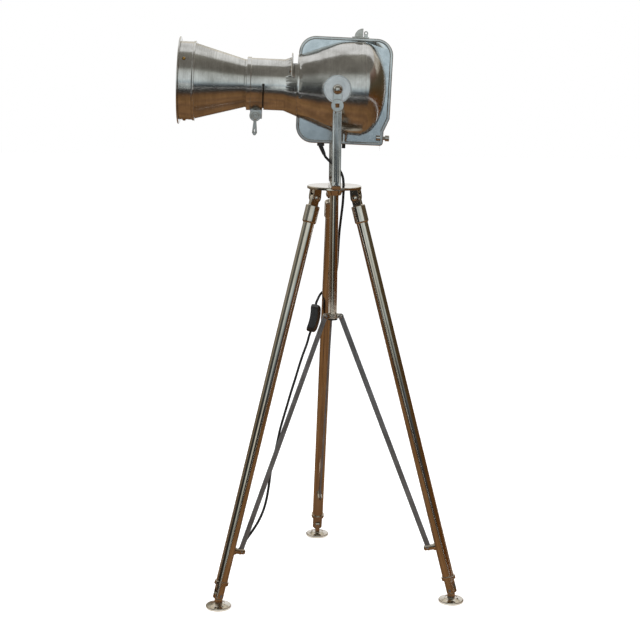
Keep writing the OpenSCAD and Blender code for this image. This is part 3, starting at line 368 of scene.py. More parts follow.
# Glazed porcelain of the lampholder
PORCELAIN = Finish("glazed_porcelain", "E8E3D6", "DDD5C2", 0.0, 0.15, 0.04, patch_mm=20, line_mm=2.0,
                   line_depth_mm=0.01, line_tone=0.02, speck_mm=1.0, coat=0.4)


@dataclass(frozen=True)
class Glass:
    """Clear glass: its tint, roughness and index, and the ripples in a metre of its surface."""

    name: str
    tint: str
    roughness: float
    ior: float = 1.52
    ripples: float = 60.0
    ripple_depth_mm: float = 0.4
    ripple_share: float = 0.08

    def build(self) -> bpy.types.Material:
        """Makes the glass, with faint ripples in its surface.

        Returns:
            The material, shared by all pieces of it.
        """
        made = bpy.data.materials.get(self.name)
        if made:
            return made
        material, tree = blank_material(self.name)
        ripple = noise(tree, add(tree, "ShaderNodeTexCoord").outputs["Object"], self.ripples)
        relief = add(tree, "ShaderNodeBump", {"Height": ripple, "Strength": self.ripple_share,
                                              "Distance": self.ripple_depth_mm * MM})
        tint = ramp(tree, ripple, [(0.3, self.tint), (0.8, "F4F8F8")])
        shader = add(tree, "ShaderNodeBsdfPrincipled", {
            "Base Color": tint, "Roughness": self.roughness, "IOR": self.ior,
            "Transmission Weight": 1.0, "Normal": relief.outputs["Normal"]})
        add(tree, "ShaderNodeOutputMaterial", {"Surface": shader.outputs["BSDF"]})
        return material


LENS_GLASS = Glass("optical_glass", "E4EEEE", 0.02)
BULB_GLASS = Glass("bulb_glass", "F2EFE4", 0.05, 1.47)


# ---- Meshes ----

# Points of a CAD copy nearer than this merge
WELD_MM = 0.002
# Its edges steeper than this many degrees are broken and stay sharp
HARD_ANGLE = 32.0
# How wide the lesser edges are broken on a piece with a crest
FINE_EDGE_MM = 0.3
# Points round the flex, and the angle in degrees past which its edges stay sharp, as at its flat ends
TUBE_SIDES = 16
TUBE_ANGLE = 50.0


def vectors(items: bpy.types.bpy_prop_collection, name: str) -> np.ndarray:
    """Reads one vector of each point or face.

    Args:
        items: A mesh's vertices or polygons.
        name: The vector's name.

    Returns:
        The vectors, one a row.
    """
    flat = np.empty(len(items) * 3, dtype=np.float32)
    items.foreach_get(name, flat)
    return flat.reshape(-1, 3).astype(float)


def move_points(mesh: bpy.types.Mesh, points: np.ndarray) -> None:
    """Gives a mesh's points new places.

    Args:
        mesh: The mesh.
        points: The places in metres, one a row.
    """
    mesh.vertices.foreach_set("co", points.astype(np.float32).ravel())
    mesh.update()


def finish_mesh(mesh: bpy.types.Mesh, finish: Finish | Glass, sharp: float) -> None:
    """Gives a mesh its material, its smooth shading, and each point's own coordinates for the pattern.

    Args:
        mesh: The mesh, in its final place.
        finish: What it is made of.
        sharp: Edges steeper than this many degrees stay sharp.
    """
    mesh.materials.clear()
    mesh.materials.append(finish.build())
    mesh.shade_smooth()
    mesh.set_sharp_from_angle(angle=math.radians(sharp))
    points = vectors(mesh.vertices, "co")
    own = finish.grain.places(points) if isinstance(finish, Finish) else points
    layer = mesh.attributes.new("own", "FLOAT_VECTOR", "POINT")
    layer.data.foreach_set("vector", own.astype(np.float32).ravel())


def place_mesh(name: str, mesh: bpy.types.Mesh) -> bpy.types.Object:
    """Links a mesh to the scene as an object at the origin.

    Args:
        name: The object's name.
        mesh: Its mesh.

    Returns:
        The object.
    """
    obj = bpy.data.objects.new(name, mesh)
    bpy.context.scene.collection.objects.link(obj)
    return obj


def weld(mesh: bpy.types.Mesh, distance: float = 1e-6, flat: bool = False) -> None:
    """Merges doubled points, joins flat triangles where asked, and turns faces outwards.

    Args:
        mesh: The mesh to mend in place.
        distance: Points nearer than this merge, in metres.
        flat: Whether triangles in one plane become one face.
    """
    data = bmesh.new()
    data.from_mesh(mesh)
    bmesh.ops.remove_doubles(data, verts=data.verts, dist=distance)
    if flat:
        bmesh.ops.dissolve_limit(data, angle_limit=math.radians(0.3), verts=data.verts, edges=data.edges)
    bmesh.ops.recalc_face_normals(data, faces=data.faces)
    data.to_mesh(mesh)
    data.free()


def cut_across(mesh: bpy.types.Mesh, places: Sequence[Vector], way: Vector) -> None:
    """Cuts a mesh's faces along parallel planes, which adds points there and takes nothing away.

    Args:
        mesh: The mesh to cut in place.
        places: A point on each plane, in metres.
        way: The direction that the planes stand square to.
    """
    data = bmesh.new()
    data.from_mesh(mesh)
    for place in places:
        bmesh.ops.bisect_plane(data, geom=[*data.verts, *data.edges, *data.faces], plane_co=place,
                               plane_no=way)
    data.to_mesh(mesh)
    data.free()


def grid_faces(rows: int, columns: int, closed: bool) -> np.ndarray:
    """Numbers the quads of a grid of points.

    Args:
        rows: How many rows of points.
        columns: How many points in a row.
        closed: Whether each row closes on itself.

    Returns:
        Vertex numbers, four a face.
    """
    i, j = np.meshgrid(np.arange(rows - 1), np.arange(columns if closed else columns - 1), indexing="ij")
    i, j = i.ravel(), j.ravel()
    up, across = i + 1, (j + 1) % columns
    return np.stack([i * columns + j, up * columns + j, up * columns + across, i * columns + across], 1)


def catmull(points: np.ndarray, steps: int) -> np.ndarray:
    """Draws a smooth curve through points: each span is a cubic whose ends head along the neighbours' chord.

    Args:
        points: The points that it passes through, one a row.
        steps: How many pieces each span is cut into.

    Returns:
        Points on the curve, the last one included.
    """
    padded = np.concatenate([points[:1], points, points[-1:]])
    t = (np.arange(steps) / steps)[None, :, None]
    p0, p1, p2, p3 = (padded[k:len(points) - 1 + k][:, None, :] for k in range(4))
    curve = 0.5 * (2 * p1 + (p2 - p0) * t + (2 * p0 - 5 * p1 + 4 * p2 - p3) * t ** 2
                   + (3 * p1 - p0 - 3 * p2 + p3) * t ** 3)
    return np.concatenate([curve.reshape(-1, 3), points[-1:]])


def swept(name: str, path: np.ndarray, finish: Finish, ends: tuple[Vector, Vector]) -> bpy.types.Object:
    """Sweeps the flex's round along a path: each ring stands square to the path, turned as little as can be.

    Args:
        name: The piece's name.
        path: Points in metres.
        finish: What it is made of.
        ends: The path's directions at its two ends.

    Returns:
        The tube, closed with flat ends.
    """
    tangent = np.gradient(path, axis=0)
    tangent[0], tangent[-1] = ends
    tangent /= np.linalg.norm(tangent, axis=1, keepdims=True)
    normal = np.cross(tangent[0], [1.0, 0.0, 0.0] if abs(tangent[0][2]) > 0.6 else [0.0, 0.0, 1.0])
    normals = []
    for way in tangent:
        normal = normal - way * normal.dot(way)
        normal /= np.linalg.norm(normal)
        normals.append(normal)
    normals = np.array(normals)
    side = np.cross(tangent, normals)
    angle = np.linspace(0, 2 * math.pi, TUBE_SIDES, endpoint=False)
    rings = path[:, None] + CORD_D * MM / 2 * (np.cos(angle)[None, :, None] * normals[:, None]
                                               + np.sin(angle)[None, :, None] * side[:, None])
    points = np.concatenate([rings.reshape(-1, 3), path[:1], path[-1:]])
    count, last = len(path), (len(path) - 1) * TUBE_SIDES
    k = np.arange(TUBE_SIDES)
    following = (k + 1) % TUBE_SIDES
    first_cap = np.stack([k, following, np.full(TUBE_SIDES, count * TUBE_SIDES)], 1)
    last_cap = np.stack([last + following, last + k, np.full(TUBE_SIDES, count * TUBE_SIDES + 1)], 1)
    caps = np.concatenate([first_cap, last_cap])
    mesh = bpy.data.meshes.new(name)
    mesh.from_pydata(points.tolist(), [], grid_faces(count, TUBE_SIDES, True).tolist() + caps.tolist())
    weld(mesh)
    finish_mesh(mesh, finish, TUBE_ANGLE)
    return place_mesh(name, mesh)


def crest_weights(mesh: bpy.types.Mesh, crest: Callable[[np.ndarray], np.ndarray], fine: float) -> None:
    """Weighs a mesh's hard edges for its bevel: whole along its crest, and a share of that elsewhere.

    Args:
        mesh: The mesh, in metres in the row's frame.
        crest: Says which points, in millimetres from the column's foot, lie on the crest.
        fine: The other edges' share.
    """
    data = bmesh.new()
    data.from_mesh(mesh)
    places = np.array([vertex.co for vertex in data.verts]) / MM + CENTRE
    high = crest(places)
    layer = data.edges.layers.float.new("bevel_weight_edge")
    for edge in data.edges:
        if edge.calc_face_angle(0.0) > math.radians(HARD_ANGLE):
            edge[layer] = 1.0 if high[edge.verts[0].index] and high[edge.verts[1].index] else fine
    data.to_mesh(mesh)
    data.free()


def dress(node: str, finish: Finish | Glass, bevel_mm: float,
          crest: Optional[Callable[[np.ndarray], np.ndarray]] = None) -> bpy.types.Object:
    """Stands a softened copy of a CAD node in its place: doubles merged, hard edges broken, curves smooth.

    Args:
        node: The CAD node's name.
        finish: What it is made of.
        bevel_mm: How wide its edges are broken.
        crest: Which points carry the full width, where only some of its edges are well rounded.

    Returns:
        The copy.
    """
    source = frame["nodes"][node]
    mesh = source.data.copy()
    mesh.name = f"{node}_dressed"
    mesh.transform(source.matrix_world)
    for layer in ("custom_normal", "sharp_face", "sharp_edge"):
        if layer in mesh.attributes:
            mesh.attributes.remove(mesh.attributes[layer])
    weld(mesh, WELD_MM * MM, flat=True)
    finish_mesh(mesh, finish, HARD_ANGLE)
    mesh.polygons.foreach_set("material_index", np.zeros(len(mesh.polygons), dtype=np.int32))
    obj = place_mesh(f"{node}_dressed", mesh)
    if crest:
        crest_weights(mesh, crest, FINE_EDGE_MM / bevel_mm)
    if bevel_mm > 0:
        edge = obj.modifiers.new("edge", "BEVEL")
        edge.width = bevel_mm * MM
        edge.segments = 3 if bevel_mm > 1 else 2
        edge.limit_method = "WEIGHT" if crest else "ANGLE"
        edge.angle_limit = math.radians(HARD_ANGLE)
        edge.use_clamp_overlap = False
    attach(obj, NODE_BODY[node])
    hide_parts(node)
    log.info("%s: %d faces", obj.name, len(mesh.polygons))
    return obj


BODIES = frame["record"]["behaviour"]["bodies"]
NODE_BODY = {node: body for body, nodes in BODIES.items() for node in nodes}


# ---- The lamp's assemblies ----


@dataclass
class Flex:
    """The flex from the gland to the plug, in the stretches that its bodies carry."""

    relief_angle: float = 26.0
    gland: tuple[float, float] = (-27.0, -126.6)
    relief_len: float = 20.0
    steps: int = 4
    before_pan: tuple[float, float, float] = (-12.0, 1.0, 965.0)
    pan_cross: tuple[float, float, float] = (0.0, 1.0, 955.0)
    pan_way: tuple[float, float, float] = (20.0, 1.0, -17.0)
    neck_end: tuple[float, float, float] = (20.0, 7.0, 890.0)
    neck: list = field(default_factory=lambda: [[11, 2, 945], [18, 3, 930], [20, 4, 914], [20.5, 5, 903]])
    column: list = field(default_factory=lambda: [
        [19, 8, 870], [16, 12, 840], [13, 20, 806], [12, 36, 775], [12, 60, 748], [12, 85, 724],
        [10, 108, 700], [2, 126.5, 679], [-9, 134.5, 661], [-24, 129.5, 647], [-31, 118, 636],
        [-34, 114, 630]])
    switch_top: tuple[float, float, float] = (-35.0, 113.0, 625.0)
    switch_run: tuple[float, float, float] = (-12.0, -12.0, -61.0)
    switch_len: float = 64.0
    lower: list = field(default_factory=lambda: [
        [-50, 98, 555], [-56, 90, 535], [-65, 80, 512], [-74, 68, 486], [-82, 56, 461], [-91, 42, 435],
        [-99, 27, 410], [-107, 11, 386], [-115, -6, 361], [-121, -22, 336], [-128, -40, 306],
        [-135, -56, 279], [-139, -72, 251], [-144, -86, 223], [-151, -97, 199], [-163, -106, 174],
        [-180, -113, 149], [-194.2, -115, 128.8], [-202, -111.1, 115.5], [-209.6, -101.2, 106.2],
        [-216.5, -89.3, 104], [-219.6, -77.3, 111.8], [-215.4, -66.3, 128.7]])

    def relief(self) -> tuple[np.ndarray, Vector]:
        """Works out where the flex leaves its strain relief.

        Returns:
            The point in metres, and the direction there.
        """
        angle = math.radians(self.relief_angle)
        way = Vector((math.sin(angle), 0.0, -math.cos(angle)))
        local = Vector((self.gland[0], 0.0, self.gland[1])) + way * self.relief_len
        place = head_matrix() @ (local * MM)
        return np.array(place), head_matrix().to_3x3() @ way

    def switch_way(self) -> np.ndarray:
        """Returns the unit direction of the flex through the switch."""
        run = np.array(self.switch_run)
        return run / np.linalg.norm(run)

    def build(self) -> None:
        """Makes each stretch, from the gland to the hank behind the front-left leg."""
        tip, way = self.relief()
        start = np.array([tip, tip + np.array(way) * CORD_D * MM])
        cross = to_frame(np.array([self.before_pan, self.pan_cross]))
        head = np.concatenate([start[:1], catmull(np.concatenate([start[1:], cross]), self.steps)])
        pan_way = Vector(self.pan_way).normalized()
        down = Vector((0.0, 0.0, -1.0))
        self.stretch("flex_head", head, (way, pan_way), "cord_head", ("lamphouse", "yoke"), tip)
        neck = catmull(to_frame(np.array([self.pan_cross, *self.neck, self.neck_end])), self.steps)
        self.stretch("flex_neck", neck, (pan_way, down), "cord_neck", ("yoke", "tripod_head"), neck[0])
        column = catmull(to_frame(np.array([self.neck_end, *self.column, self.switch_top])), self.steps)
        self.stretch("flex_column", column, (down, Vector(self.switch_way())), "cord_column",
                     ("tripod_head",), column[0],
                     with_pieces=["inline_switch_dressed", "switch_rocker_dressed"])
        bottom = np.array(self.switch_top) + self.switch_len * self.switch_way()
        hank = Hank()
        entry = np.array(hank.matrix() @ Vector(hank.path()[0]))
        route = np.concatenate([to_frame(np.array(self.lower)), entry[None]])
        lower = np.concatenate([to_frame(bottom)[None], catmull(route, self.steps)])
        up = hank.matrix().to_3x3() @ Vector((0.0, 0.0, 1.0))
        self.stretch("flex_lower", lower, (Vector(self.switch_way()), up), "cord_lower",
                     ("tripod_head", "leg_fl"), lower[0])
        hank.build()

    def stretch(self, name: str, path: np.ndarray, ends: tuple[Vector, Vector], node: str,
                bodies: tuple[str, ...], exit_point: np.ndarray, with_pieces: Sequence[str] = ()) -> None:
        """Args:
            name: The piece's name.
            path: The points that it follows, in metres.
            ends: Its directions at its two ends.
            node: The CAD node that it stands for.
            bodies: The one body that it rides on, or the two that it runs between, in which case it is
                attached to neither.
            exit_point: Where it leaves what comes before it; not used.
            with_pieces: Names of the pieces on it; not used.
        """
        obj = swept(name, path, FLEX, ends)
        if len(bodies) == 1:
            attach(obj, bodies[0])
        else:
            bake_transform(obj)
        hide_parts(node)


@dataclass
class Hank:
    """The stored flex: loops in two layers behind the front-left leg, drawn in at their tie."""

    turn: float = -126.0
    run: float = 90.0
    step: float = 7.2
    layer: float = 6.4
    loops: int = 4
    rings: int = 48
    pull: float = 6.0
    at: float = 700.0
    leg_d: float = 25.4
    leg_gap: float = 5.0
    tail_out: float = 14.0
    tail_step: float = 15.0

    @property
    def inner(self) -> float:
        """Half-width of the innermost fold, in millimetres."""
        return 3 * CORD_D

    @property
    def outer(self) -> float:
        """Half-width of the outermost fold, in millimetres."""
        return self.inner + self.step * self.loops / 2

    @property
    def centre(self) -> float:
        """Distance of the hank's middle from the leg's axis, in millimetres."""
        return self.leg_d / 2 + self.leg_gap + CORD_D / 2 + self.outer

    def matrix(self) -> Matrix:
        """Returns the hank's frame: X away from the leg, Y across the layers, Z up the leg."""
        return (leg_matrix("fl") @ Matrix.Translation((0, 0, -self.at * MM))
                @ Matrix.Rotation(math.radians(self.turn), 4, "Z")
                @ Matrix.Translation((self.centre * MM, 0, 0)))

    def path(self) -> np.ndarray:
        """Draws the flex's line: runs joined by round folds, whose half-width shrinks and grows again at a
        steady rate while the line climbs from one layer to the next along the run where it turns.

        Returns:
            Points in metres in the hank's frame.
        """
        u = np.arange(self.rings * self.loops + 1) / self.rings
        loop = 2 * self.run + 2 * math.pi * (self.inner + self.outer) / 2
        run = self.run / loop
        fold = 0.5 - run
        width = self.outer - self.step * np.where(u < self.loops / 2, u, self.loops - u)
        level = self.layer * (np.clip((u - self.loops / 2) / run, 0, 1) - 0.5)
        f = u - np.floor(u)
        rise = self.run * (f / run - 0.5)
        fall = self.run * (0.5 - (f - 0.5) / run)
        top = math.pi * (f - run) / fold
        low = math.pi * (1 + (f - 0.5 - run) / fold)
        x = np.select([f < run, f < 0.5, f < 0.5 + run],
                      [width - self.waist(rise), width * np.cos(top), self.waist(fall) - width],
                      width * np.cos(low))
        z = np.select([f < run, f < 0.5, f < 0.5 + run],
                      [rise, self.run / 2 + width * np.sin(top), fall], width * np.sin(low) - self.run / 2)
        loops = np.stack([x, level, z], 1)
        lead = np.array([[self.outer, -self.layer / 2, -self.run / 2 - CORD_D]])
        tail_len = self.run + self.outer + self.tail_out
        z_tail = np.append(np.arange(self.tail_step, tail_len - 1, self.tail_step), tail_len) - self.run / 2
        drawn = np.where(np.abs(z_tail) < self.run / 2, self.waist(z_tail), 0)
        tail = np.stack([self.outer - drawn, np.full_like(z_tail, self.layer / 2), z_tail], 1)
        return np.concatenate([lead, loops, tail]) * MM

    def waist(self, z: np.ndarray) -> np.ndarray:
        """Returns how far the tie draws a run in, a cosine hump over the run's length."""
        return self.pull * (1 + np.cos(2 * math.pi * z / self.run)) / 2

    def build(self) -> None:
        matrix = self.matrix()
        path = np.array([matrix @ Vector(point) for point in self.path()])
        up = matrix.to_3x3() @ Vector((0.0, 0.0, 1.0))
        obj = swept("flex_hank", path, FLEX, (up, up))
        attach(obj, "leg_fl")
        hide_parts("cord_hank")


@dataclass
class Tripod:
    """The nickel tripod: head plate, column, legs, feet, spider and braces."""

    edge_mm: float = 0.6

    def build(self) -> None:
        """Dresses each of the tripod's nodes."""
        for node in ("head_plate", "leg_bolts", "spider"):
            dress(node, NICKEL, self.edge_mm)
        dress("centre_column", NICKEL_TUBE, 0.3)
        dress("column_cap", BLACKENED, self.edge_mm)
        dress("pan_bolt", STEEL, self.edge_mm)
        dress("spider_pins", DARK_STEEL, 0.2)
        for leg in LEG_AZIMUTHS:
            dress(f"leg_tube_{leg}", NICKEL_TUBE, 0.3)
            dress(f"leg_top_{leg}", NICKEL, self.edge_mm)
            dress(f"leg_end_{leg}", NICKEL, self.edge_mm)
            dress(f"brace_stub_{leg}", NICKEL, 0.3)
            dress(f"leg_pins_{leg}", DARK_STEEL, 0.2)
            dress(f"foot_{leg}", NICKEL, self.edge_mm)
            dress(f"brace_{leg}", DARK_STEEL, 0.4)


# The head's smaller nodes, with their finish and how wide their edges are broken, in millimetres
HEAD_FITTINGS = (
    ("lens_band", CAST_ROUND, 0.6), ("lens_ring", CAST_ROUND, 0.8), ("lens", LENS_GLASS, 0.3),
    ("band_screws", BRASS, 0.15), ("clamp_bolt", STEEL, 0.3), ("wing_nut", STEEL, 0.5),
    ("tilt_discs", TURNED, 0.5), ("tilt_bolts", STEEL, 0.4), ("gate_plate", BLACKENED, 0.2),
    ("reflector", TURNED, 0.2), ("lamp_tray", STEEL, 0.3), ("lampholder", PORCELAIN, 0.8),
    ("bulb", BULB_GLASS, 0.0), ("top_catch", STEEL, 0.4), ("cord_gland", MOULDING, 0.4),
    ("tray_knob", STEEL, 0.4), ("adjust_knob", BLACKENED, 0.4),
)


@dataclass
class Head:
    """The lamphouse, its nozzle and lens tube, and the yoke that carries them, in millimetres.

    The skin's rows give a place along the head's axis, the casting's radius there, and the curve's slope.
    """

    rim_mm: float = 1.6
    panel_mm: float = 3.0
    panel_off: float = 0.4
    panel_flat: float = 0.95
    rim_top: float = 6.5
    on_face: float = 0.05
    sleeve_from: float = -190.0
    skin: tuple[tuple[float, float, float], ...] = (
        (-84.0, 66.0, 0.45), (-27.7, 86.0, 0.32), (11.2, 97.4, 0.11), (59.0, 100.6, 0.0))
    skin_cuts: tuple[float, float, float] = (-80.0, 57.0, 7.5)
    on_skin: float = 0.25
    arm_out: float = 111.0
    eye_z: float = 1042.0
    crown: float = 26.0
    crown_cuts: tuple[float, float, float] = (-8.4, 8.5, 1.2)

    def rim_edges(self, places: np.ndarray) -> np.ndarray:
        """Says which points lie on the flange rim's upper face, by their distance from the seam's plane.

        Args:
            places: Points in millimetres from the column's foot.
        """
        return np.abs(np.abs(places[:, 1]) - self.rim_top) < self.on_face

    def build(self) -> None:
        """Dresses each of the head's nodes."""
        self.crown_arms(dress("yoke", YOKE, 0.5))
        for side in ("near", "far"):
            housing = dress(f"housing_{side}", CAST_ROUND, self.rim_mm, self.rim_edges)
            self.round_skin(housing)
            self.satin_panel(housing)
        dress("housing_screws", STEEL, 0.2)
        dress("nozzle", CAST_ROUND, 0.7)
        self.paint_sleeve_shade(dress("lens_cone", CONE, 0.4))
        for node, finish, edge_mm in HEAD_FITTINGS:
            dress(node, finish, edge_mm)

    def cut_head(self, mesh: bpy.types.Mesh, cuts: Sequence[float]) -> None:
        """Cuts a mesh's faces square to the head's axis.

        Args:
            mesh: The mesh to cut in place.
            cuts: Where, in millimetres from the tilt axis.
        """
        cut_across(mesh, [head_matrix() @ Vector((cut * MM, 0.0, 0.0)) for cut in cuts],
                   head_matrix().to_3x3() @ Vector((1.0, 0.0, 0.0)))

    def crown_arms(self, yoke: bpy.types.Object) -> None:
        """Crowns the outer face of the yoke's arms below their eyes, as a forged strap has it.

        The face falls away from its middle by the square of the distance over twice the crown's radius.

        Args:
            yoke: The yoke.
        """
        cut_across(yoke.data, [Vector((float(cut - CENTRE[0]) * MM, 0.0, 0.0))
                               for cut in np.arange(*self.crown_cuts)], Vector((1.0, 0.0, 0.0)))
        own = vectors(yoke.data.vertices, "co") / MM + CENTRE
        face = (np.abs(np.abs(own[:, 1]) - self.arm_out) < self.on_face) & (own[:, 2] < self.eye_z)
        own[:, 1] -= np.where(face, np.sign(own[:, 1]) * own[:, 0] ** 2 / (2 * self.crown), 0.0)
        move_points(yoke.data, to_frame(own))

    def round_skin(self, housing: bpy.types.Object) -> None:
        """Rounds a casting's outer skin: its straight tapers become one curve through the same four radii.

        Between two of them the radius is a cubic that keeps both radii and both slopes.

        Args:
            housing: One of the two castings.
        """
        x, radius, slope = np.array(self.skin).T
        self.cut_head(housing.data, np.arange(*self.skin_cuts))
        turn = np.array(head_matrix())
        own = (vectors(housing.data.vertices, "co") - turn[:3, 3]) @ turn[:3, :3] / MM
        reach = np.hypot(own[:, 1], own[:, 2])
        outer = ((np.abs(reach - np.interp(own[:, 0], x, radius)) < self.on_skin)
                 & (own[:, 0] > x[0]) & (own[:, 0] < x[-1]))
        span = np.clip(np.searchsorted(x, own[:, 0]) - 1, 0, len(x) - 2)
        wide = x[span + 1] - x[span]
        t = (own[:, 0] - x[span]) / wide
        start = (2 * t ** 3 - 3 * t ** 2 + 1) * radius[span] + (t ** 3 - 2 * t ** 2 + t) * wide * slope[span]
        end = (3 * t ** 2 - 2 * t ** 3) * radius[span + 1] + (t ** 3 - t ** 2) * wide * slope[span + 1]
        own[:, 1:] *= np.where(outer, (start + end) / np.maximum(reach, 1e-6), 1.0)[:, None]
        move_points(housing.data, own * MM @ turn[:3, :3].T + turn[:3, 3])

    def paint_sleeve_shade(self, cone: bpy.types.Object) -> None:
        """Darkens the sleeve that slides in the nozzle with the blackened steel, as painted shade where it
        shows through the clamp's saw cut.

        Args:
            cone: The lens cone with its sleeve.
        """
        mesh = cone.data
        # The blackened steel on the sleeve is painted shade inside the clamp's saw cut
        mesh.materials.append(BLACKENED.build())
        self.cut_head(mesh, [self.sleeve_from])
        own = Grain.ROUND_HEAD.places(vectors(mesh.polygons, "center")) / MM
        mesh.polygons.foreach_set("material_index", (own[:, 0] > self.sleeve_from).astype(np.int32))

    def satin_panel(self, housing: bpy.types.Object) -> None:
        """Gives the flange's flat panel, inside its polished rim, its own satin finish.

        Args:
            housing: One of the two castings.
        """
        mesh = housing.data
        mesh.materials.append(FLANGE.build())
        off = np.abs(vectors(mesh.polygons, "center")[:, 1] / MM + CENTRE[1])
        panel = ((np.abs(off - self.panel_mm) < self.panel_off)
                 & (np.abs(vectors(mesh.polygons, "normal")[:, 1]) > self.panel_flat))
        mesh.polygons.foreach_set("material_index", panel.astype(np.int32))


# The moulded pieces on the flex, and how wide their edges are broken, in millimetres
FLEX_FITTINGS = (("inline_switch", 1.2), ("switch_rocker", 0.5), ("cord_tie", 0.2), ("plug", 0.8))


class FlexFittings:
    """The switch, the hank's tie and the plug."""

    def build(self) -> None:
        """Dresses the moulded pieces on the flex."""
        for node, edge_mm in FLEX_FITTINGS:
            dress(node, MOULDING, edge_mm)


@dataclass
class Studio:
    """The camera at the photograph's place, the pale floor, and the lights."""

    camera_mm: tuple[float, float, float] = (-107.9, -3090.4, 1224.2)
    heading: float = 1.48
    pitch: float = 11.22
    roll: float = 0.71
    lens_mm: float = 79.46
    floor_half: float = 12.0
    floor_lift: float = 0.42
    sky: float = 0.72
    middle: Vector = field(default_factory=lambda: Vector((0.0, 0.0, 0.75)))

    def camera(self) -> None:
        """Stands the camera, a little above the lamp's head and looking down by its pitch."""
        heading, pitch = math.radians(self.heading), math.radians(self.pitch)
        forward = Vector((math.sin(heading) * math.cos(pitch), math.cos(heading) * math.cos(pitch),
                          -math.sin(pitch)))
        turned = forward.to_track_quat("-Z", "Y").to_matrix().to_4x4()
        data = bpy.data.cameras.new("camera")
        data.lens = self.lens_mm
        data.sensor_width = 36.0
        data.sensor_fit = "HORIZONTAL"
        data.clip_end = 50.0
        obj = bpy.data.objects.new("camera", data)
        place = Vector(to_frame(np.array(self.camera_mm)))
        obj.matrix_world = (Matrix.Translation(place) @ turned
                            @ Matrix.Rotation(math.radians(self.roll), 4, "Z"))
        bpy.context.scene.collection.objects.link(obj)
        bpy.context.scene.camera = obj

    def seen(self, tree: bpy.types.NodeTree) -> bpy.types.NodeSocket:
        """Adds the test for rays that show the background: from the camera, in metal and through glass.

        Args:
            tree: The node tree to add to.

        Returns:
            One for those rays, and nought for the light that falls on the lamp.
        """
        path = add(tree, "ShaderNodeLightPath").outputs
        direct = add(tree, "ShaderNodeMath", {0: path["Is Camera Ray"], 1: path["Is Transmission Ray"]},
                     operation="MAXIMUM").outputs["Value"]
        return add(tree, "ShaderNodeMath", {0: direct, 1: path["Is Glossy Ray"]},
                   operation="MAXIMUM").outputs["Value"]

    def floor(self) -> None:
        """Lays the pale floor, which shows as white paper and keeps the lamp's shadow."""
        size = self.floor_half
        points = [(-size, -size, 0), (size, -size, 0), (size, size, 0), (-size, size, 0)]
        material, tree = blank_material("studio_paper")
        grain = noise(tree, add(tree, "ShaderNodeTexCoord").outputs["Object"], 3.0)
        paper = ramp(tree, grain, [(0.2, "F4F4F4"), (0.8, "F8F8F8")])
        matt = add(tree, "ShaderNodeBsdfDiffuse", {"Color": paper}).outputs["BSDF"]
        lift = add(tree, "ShaderNodeMath", {0: self.seen(tree), 1: self.floor_lift}, operation="MULTIPLY")
        glow = add(tree, "ShaderNodeEmission", {"Color": linear("FFFFFF"), "Strength": lift.outputs["Value"]})
        total = add(tree, "ShaderNodeAddShader", {0: matt, 1: glow.outputs["Emission"]}).outputs["Shader"]
        add(tree, "ShaderNodeOutputMaterial", {"Surface": total})
        mesh = bpy.data.meshes.new("floor")
        mesh.from_pydata(points, [], [(0, 1, 2, 3)])
        mesh.materials.append(material)
        place_mesh("floor", mesh)

    def world(self) -> None:
        """Sets the sky: white where the background shows, and a soft grey light on the lamp."""
        world = bpy.data.worlds.new("studio")
        bpy.context.scene.world = world
        world.use_nodes = True
        tree = world.node_tree
        tree.nodes.clear()
        soft = add(tree, "ShaderNodeBackground", {"Color": linear("F4F6F8"), "Strength": self.sky}).outputs[0]
        white = add(tree, "ShaderNodeBackground", {"Color": linear("FFFFFF"), "Strength": 1.0}).outputs[0]
        both = add(tree, "ShaderNodeMixShader", {0: self.seen(tree), 1: soft, 2: white}).outputs["Shader"]
        add(tree, "ShaderNodeOutputWorld", {"Surface": both})

    def lamp(self, name: str, place: Vector, size: tuple[float, float], watts: float) -> None:
        """Hangs one soft area light that faces the lamp's middle and that polished metal doesn't show.

        Args:
            name: The light's name.
            place: Where it hangs, in metres.
            size: Its width and height in metres.
            watts: Its power.
        """
        data = bpy.data.lights.new(name, "AREA")
        data.shape = "RECTANGLE"
        data.size, data.size_y = size
        data.energy = watts
        obj = bpy.data.objects.new(name, data)
        obj.matrix_world = (Matrix.Translation(place)
                            @ (self.middle - place).to_track_quat("-Z", "Y").to_matrix().to_4x4())
        obj.visible_glossy = False
        bpy.context.scene.collection.objects.link(obj)

    def build(self) -> None:
        """Sets the view transform, the sky, the floor, the lights and the cards."""
        bpy.context.scene.view_settings.view_transform = "Standard"
        self.world()
        self.floor()
        self.lamp("key", Vector((-1.6, -2.6, 2.6)), (1.6, 1.2), 40.0)
        self.lamp("fill", Vector((2.4, -2.0, 1.8)), (1.4, 1.4), 18.0)
        self.lamp("top", Vector((0.2, 0.3, 3.2)), (1.8, 1.8), 26.0)
        for card in CARDS:
            card.build()


